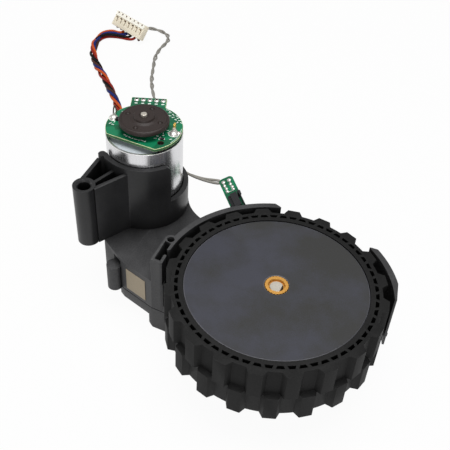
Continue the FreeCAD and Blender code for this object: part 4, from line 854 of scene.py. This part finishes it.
def ink_arc(name, centre, radius, start, end):
    """A printed line: its end face, spun about the arc's centre. With no window, spin turns the
    other way, so its angle is the reverse."""
    bpy.ops.object.select_all(action="DESELECT")
    place = placed(centre, radius, start, BOARD_TOP + 0.00002)
    facing = (math.pi / 2, 0.0, math.radians(start))
    bpy.ops.mesh.primitive_plane_add(size=1.0, location=place, rotation=facing)
    line = bpy.context.active_object
    line.name = name
    line.scale = (INK_WIDTH, INK_THICKNESS, 1.0)
    bpy.ops.object.transform_apply(location=True, rotation=True, scale=True)
    bpy.ops.object.mode_set(mode="EDIT")
    bpy.ops.mesh.select_all(action="SELECT")
    bpy.ops.mesh.spin(steps=14, angle=math.radians(start - end), center=centre, axis=(0.0, 0.0, 1.0))
    bpy.ops.mesh.select_all(action="SELECT")
    bpy.ops.mesh.fill_holes(sides=4)
    bpy.ops.mesh.normals_make_consistent(inside=False)
    bpy.ops.object.mode_set(mode="OBJECT")
    return line


right_joint = placed(MOTOR_AXIS, 0.0099, 6.0, BOARD_TOP)
left_joint = placed(MOTOR_AXIS, 0.01075, 183.0, BOARD_TOP)
marks.append(ink_arc("joint_ring", right_joint, 0.0017, 150, 395))
marks.append(ink_arc("joint_line", MOTOR_AXIS, 0.01165, -18, 22))
marks.append(ink_arc("left_ring", left_joint, 0.0016, 175, 330))
# Each bar's place east and north of the motor's axis, its turn in degrees and its length.
INK_BARS = (
    (2.2, 11.4, 20, 1.0), (3.2, 11.0, -50, 0.7), (3.6, 10.4, 30, 1.0), (2.9, 9.3, 70, 0.8),
    (4.3, 8.9, 10, 1.0), (5.0, 9.9, -30, 0.9), (5.6, 8.6, 45, 0.9), (6.4, 9.8, 0, 0.8),
    (7.2, 9.0, 60, 1.0), (6.9, 7.9, -20, 0.9), (8.2, 8.1, 35, 0.9), (8.1, 6.8, 80, 0.8),
    (9.3, 7.2, -10, 0.9), (7.3, 1.7, 20, 0.8), (6.9, -0.4, -60, 0.8), (7.4, -1.3, 25, 0.6),
    (6.0, -2.4, 0, 0.9), (7.0, -2.6, 70, 0.7), (5.9, -3.7, 30, 0.9), (7.2, -3.6, -20, 0.7),
    (-3.2, -6.6, 0, 0.9), (-2.3, -6.9, 70, 0.7), (-1.3, -7.0, -20, 1.0), (-0.2, -7.1, 60, 0.6),
    (0.9, -7.0, 10, 1.1), (2.0, -6.9, -70, 0.6), (2.9, -6.6, 0, 1.0), (3.9, -6.6, 50, 0.7),
    (-10.6, -2.0, -30, 0.9), (-10.2, -3.5, 60, 0.9), (-9.2, -3.7, 10, 0.8), (-9.4, -2.3, 80, 0.6),
    (-9.9, 3.6, -20, 0.8), (10.6, 0.4, 80, 0.8), (10.3, -1.9, 40, 0.8),
)
for east, north, turn, length in INK_BARS:
    spot = MOTOR_AXIS + Vector((east / 1000, north / 1000, BOARD_TOP))
    marks.append(chip_block("ink_bar", spot, turn, (length / 1000, 0.0003, 0.00004), 0.00001))
add_piece(join(marks, "printed_marks"), ink)

# The two motor terminals: mounds of solder, a bent wire loop in the left one and a gilt tag
# in the right one. The loop's enamel is burnt to a dull olive, and the tag is a bright yellow.
mounds = [
    solder_dome("left_mound", left_joint, 0.00155, 0.00105),
    solder_dome("right_mound", right_joint, 0.0016, 0.0009),
    solder_dome("right_mound_foot", right_joint + Vector((0.0012, 0.0009, 0.0)), 0.0009, 0.0005),
]
add_piece(join(mounds, "terminal_mounds"), tin)
frame["nodes"]["motor_terminals"].data.materials.clear()
frame["nodes"]["motor_terminals"].data.materials.append(tin)
loop_feet = (placed(MOTOR_AXIS, 0.01135, 178.5, 0.0), placed(MOTOR_AXIS, 0.0115, 169.5, 0.0))
LOOP_STEPS = 16
loop_places = []
for step in range(LOOP_STEPS + 1):
    share = step / LOOP_STEPS
    spot = loop_feet[0].lerp(loop_feet[1], share)
    spot.z = BOARD_TOP + 0.0002 + 0.0031 * math.sin(math.pi * share) ** 0.55
    loop_places.append(spot)
dark_wire = moulded_plastic("burnt enamelled wire", "4a463a", 0.4, 0.4, 0.2)
loop_piece = wire("terminal_wire_loop", loop_places, 0.00022, dark_wire)
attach(loop_piece, "gearbox")
gilt = metal("gilt tag", "f2c566", 0.4, 0.4, metallic=0.6)
tag_place = MOTOR_AXIS + Vector((0.0089, 0.0034, BOARD_TOP + 0.0011))
tag = chip_block("gilt_tag", tag_place, 100.0, (0.0015, 0.0006, 0.0018), 0.00018)
add_piece(tag, gilt)

# Two chips of satin black epoxy, the ends of the small one, and one more pair of joints.
chip_black = moulded_plastic("black epoxy", "161618", 0.45, 0.4, 0.2)
sensor_place = placed(MOTOR_AXIS, 0.0091, 186.0, BOARD_TOP + 0.0004)
small_place = placed(MOTOR_AXIS, 0.0087, -22.0, BOARD_TOP + 0.00028)
chips = [
    chip_block("sensor_chip", sensor_place, 8.0, (0.0011, 0.0013, 0.0008)),
    chip_block("small_chip", small_place, 25.0, (0.0013, 0.0007, 0.0005)),
]
add_piece(join(chips, "board_chips"), chip_black)
END_SIZE = (0.0003, 0.00075, 0.0004)
END_REACH = 0.0007
ends = []
for reach, degrees, turn in ((0.0087, -22.0, 25.0), (0.0086, 5.0, 70.0)):
    middle = placed(MOTOR_AXIS, reach, degrees, BOARD_TOP + 0.00022)
    step = Vector((math.cos(math.radians(turn)), math.sin(math.radians(turn)), 0.0)) * END_REACH
    ends.append(chip_block("chip_end", middle + step, turn, END_SIZE))
    ends.append(chip_block("chip_end", middle - step, turn, END_SIZE))
add_piece(join(ends, "chip_ends"), tin)


# The sensor magnet: a disc of dark brown bonded ferrite pressed on the motor's shaft, with a
# rounded edge, a fine line inside it, a hub on a low cone and four dished ejector marks. Bonded
# ferrite looks like dark chocolate, with a soft sheen on its rounded edge.
# recess paints shade into the magnet's hollows: round its step, its hub and its ejector marks.
ferrite = moulded_plastic("dark brown bonded ferrite", "261c19", 0.5, 0.35, 0.3, shine=0.35, clouding=1.15,
                          recess=0.4)
DISC_PROFILE = [
    (1.05, 32.15), (7.3, 32.15), (7.3, 32.75), (7.97, 32.75), (7.97, 33.45), (7.86, 33.75), (7.62, 33.96),
    (7.3, 34.05), (7.16, 34.05), (7.1, 33.98), (7.04, 34.05), (4.4, 34.05), (4.15, 34.1), (3.9, 34.28),
    (3.6, 34.38), (3.4, 34.46), (3.28, 34.9), (3.12, 35.08), (1.6, 35.08), (1.45, 34.9), (1.05, 34.9),
]
DISC_LIFT = 0.00035
DISC_TOP = 0.03405 + DISC_LIFT
EJECTOR_MARKS = 4
EJECTOR_REACH = 0.0056
EJECTOR_BALL = 0.00095
EJECTOR_RISE = 0.00045
magnet_disc = lathe("sensor_magnet", DISC_PROFILE, 120)
finish_piece("sensor_magnet", MOTOR_AXIS + Vector((0.0, 0.0, DISC_LIFT)))
for number in range(EJECTOR_MARKS):
    spot = placed(MOTOR_AXIS, EJECTOR_REACH, 2.0 + 90.0 * number, DISC_TOP + EJECTOR_RISE)
    bpy.ops.object.select_all(action="DESELECT")
    bpy.ops.mesh.primitive_uv_sphere_add(segments=32, ring_count=24, radius=EJECTOR_BALL, location=spot)
    cut_away(magnet_disc, bpy.context.active_object)
magnet_disc.select_set(True)
bpy.context.view_layer.objects.active = magnet_disc
bpy.ops.object.shade_smooth_by_angle(angle=math.radians(30))
dress(magnet_disc, ferrite, "rotor", "encoder_disc")


# The wheel-drop switch: a small black switch with a lever on a narrow board, whose two pads
# take the grey wires. The board leans, with its wheel side higher. The switch is a glossier black
# than the housing, and its rounded edges are painted lighter, a painted highlight.
def on_switch_board(piece, along, across, height):
    """Moves a piece modelled at the origin to its place on the leaning board."""
    return lean(piece, (SWITCH_ALONG, SWITCH_ACROSS, SWITCH_NORMAL), switch_place(along, across, height))


switch_board = take_solid("switch_board", "switch_circuit", 0.0001, edge_highlight_or_laminate=True)
dress(switch_board, green_mask, "gearbox", "switch_board", laminate)
with_sawn_edge(switch_board, laminate)
SWITCH_JOINTS = (
    (1.75, -1.2), (1.75, 0.95), (3.6, -1.3), (3.9, 0.8), (5.2, -1.15), (5.4, 1.0), (6.6, -1.25),
    (6.6, 0.95),
)
WIRE_JOINT_RADIUS = 0.00078
PIN_JOINT_RADIUS = 0.00062
switch_solder = []
for number, (along, across) in enumerate(SWITCH_JOINTS):
    wide = WIRE_JOINT_RADIUS if number < 2 else PIN_JOINT_RADIUS
    joint = solder_dome("switch_pad", Vector(), wide, 0.00035)
    switch_solder.append(on_switch_board(joint, along, across, 0.0))
for across in (-1.22, 0.95):
    trace = chip_block("switch_trace", Vector(), 0.0, (0.0048, 0.0005, 0.0002), 0.00006)
    switch_solder.append(on_switch_board(trace, 4.2, across, 0.0))
shell_edge = chip_block("shell_edge", Vector(), 0.0, (0.00022, 0.0031, 0.0005), 0.00005)
switch_solder.append(on_switch_board(shell_edge, 7.35, -0.2, 0.00025))
add_piece(join(switch_solder, "switch_solder"), tin)
switch_black = moulded_plastic("black switch plastic", "262628", 0.42, 0.4, 0.2)
switch_edge_highlight = moulded_plastic("black switch plastic, painted edge highlight", "4a4a4c", 0.42, 0.4, 0.1)
switch = take_solid("switch_body", "drop_switch", 0.00014, edge_highlight_or_laminate=True)
dress(switch, switch_black, "gearbox", "switch_body", switch_edge_highlight)
lever = take_solid("switch_lever", "drop_switch_lever", 0.00006)
dress(lever, switch_black, "drop_lever", "switch_lever")


# The blank patch: a thin tan film that is stuck on the arm's front wall. It is matt and faintly
# grained, and nothing is printed on it.
film = moulded_plastic("blank tan film", "9b8f7b", 0.55, 0.6, 0.25, clouding=1.08)
dress(take_solid("tan_patch", "tan_film", 0.00004), film, "gearbox", "tan_patch")


# What the housing hides: gears of milky white acetal, the motor's magnets, and its brush card
# and spacer of plain black nylon.
acetal = moulded_plastic("white acetal", "d3d0c6", 0.4, 0.5, 0.1, shine=0.4, clouding=1.05)
black_nylon = moulded_plastic("black nylon", "1c1c1e", 0.5, 0.5, 0.3)
for node, material in (("board_spacer", black_nylon), ("brush_card", black_nylon), ("motor_magnets", ferrite),
                       ("first_gear", acetal), ("second_gear", acetal), ("third_gear", acetal),
                       ("output_gear", acetal)):
    frame["nodes"][node].data.materials.clear()
    frame["nodes"][node].data.materials.append(material)
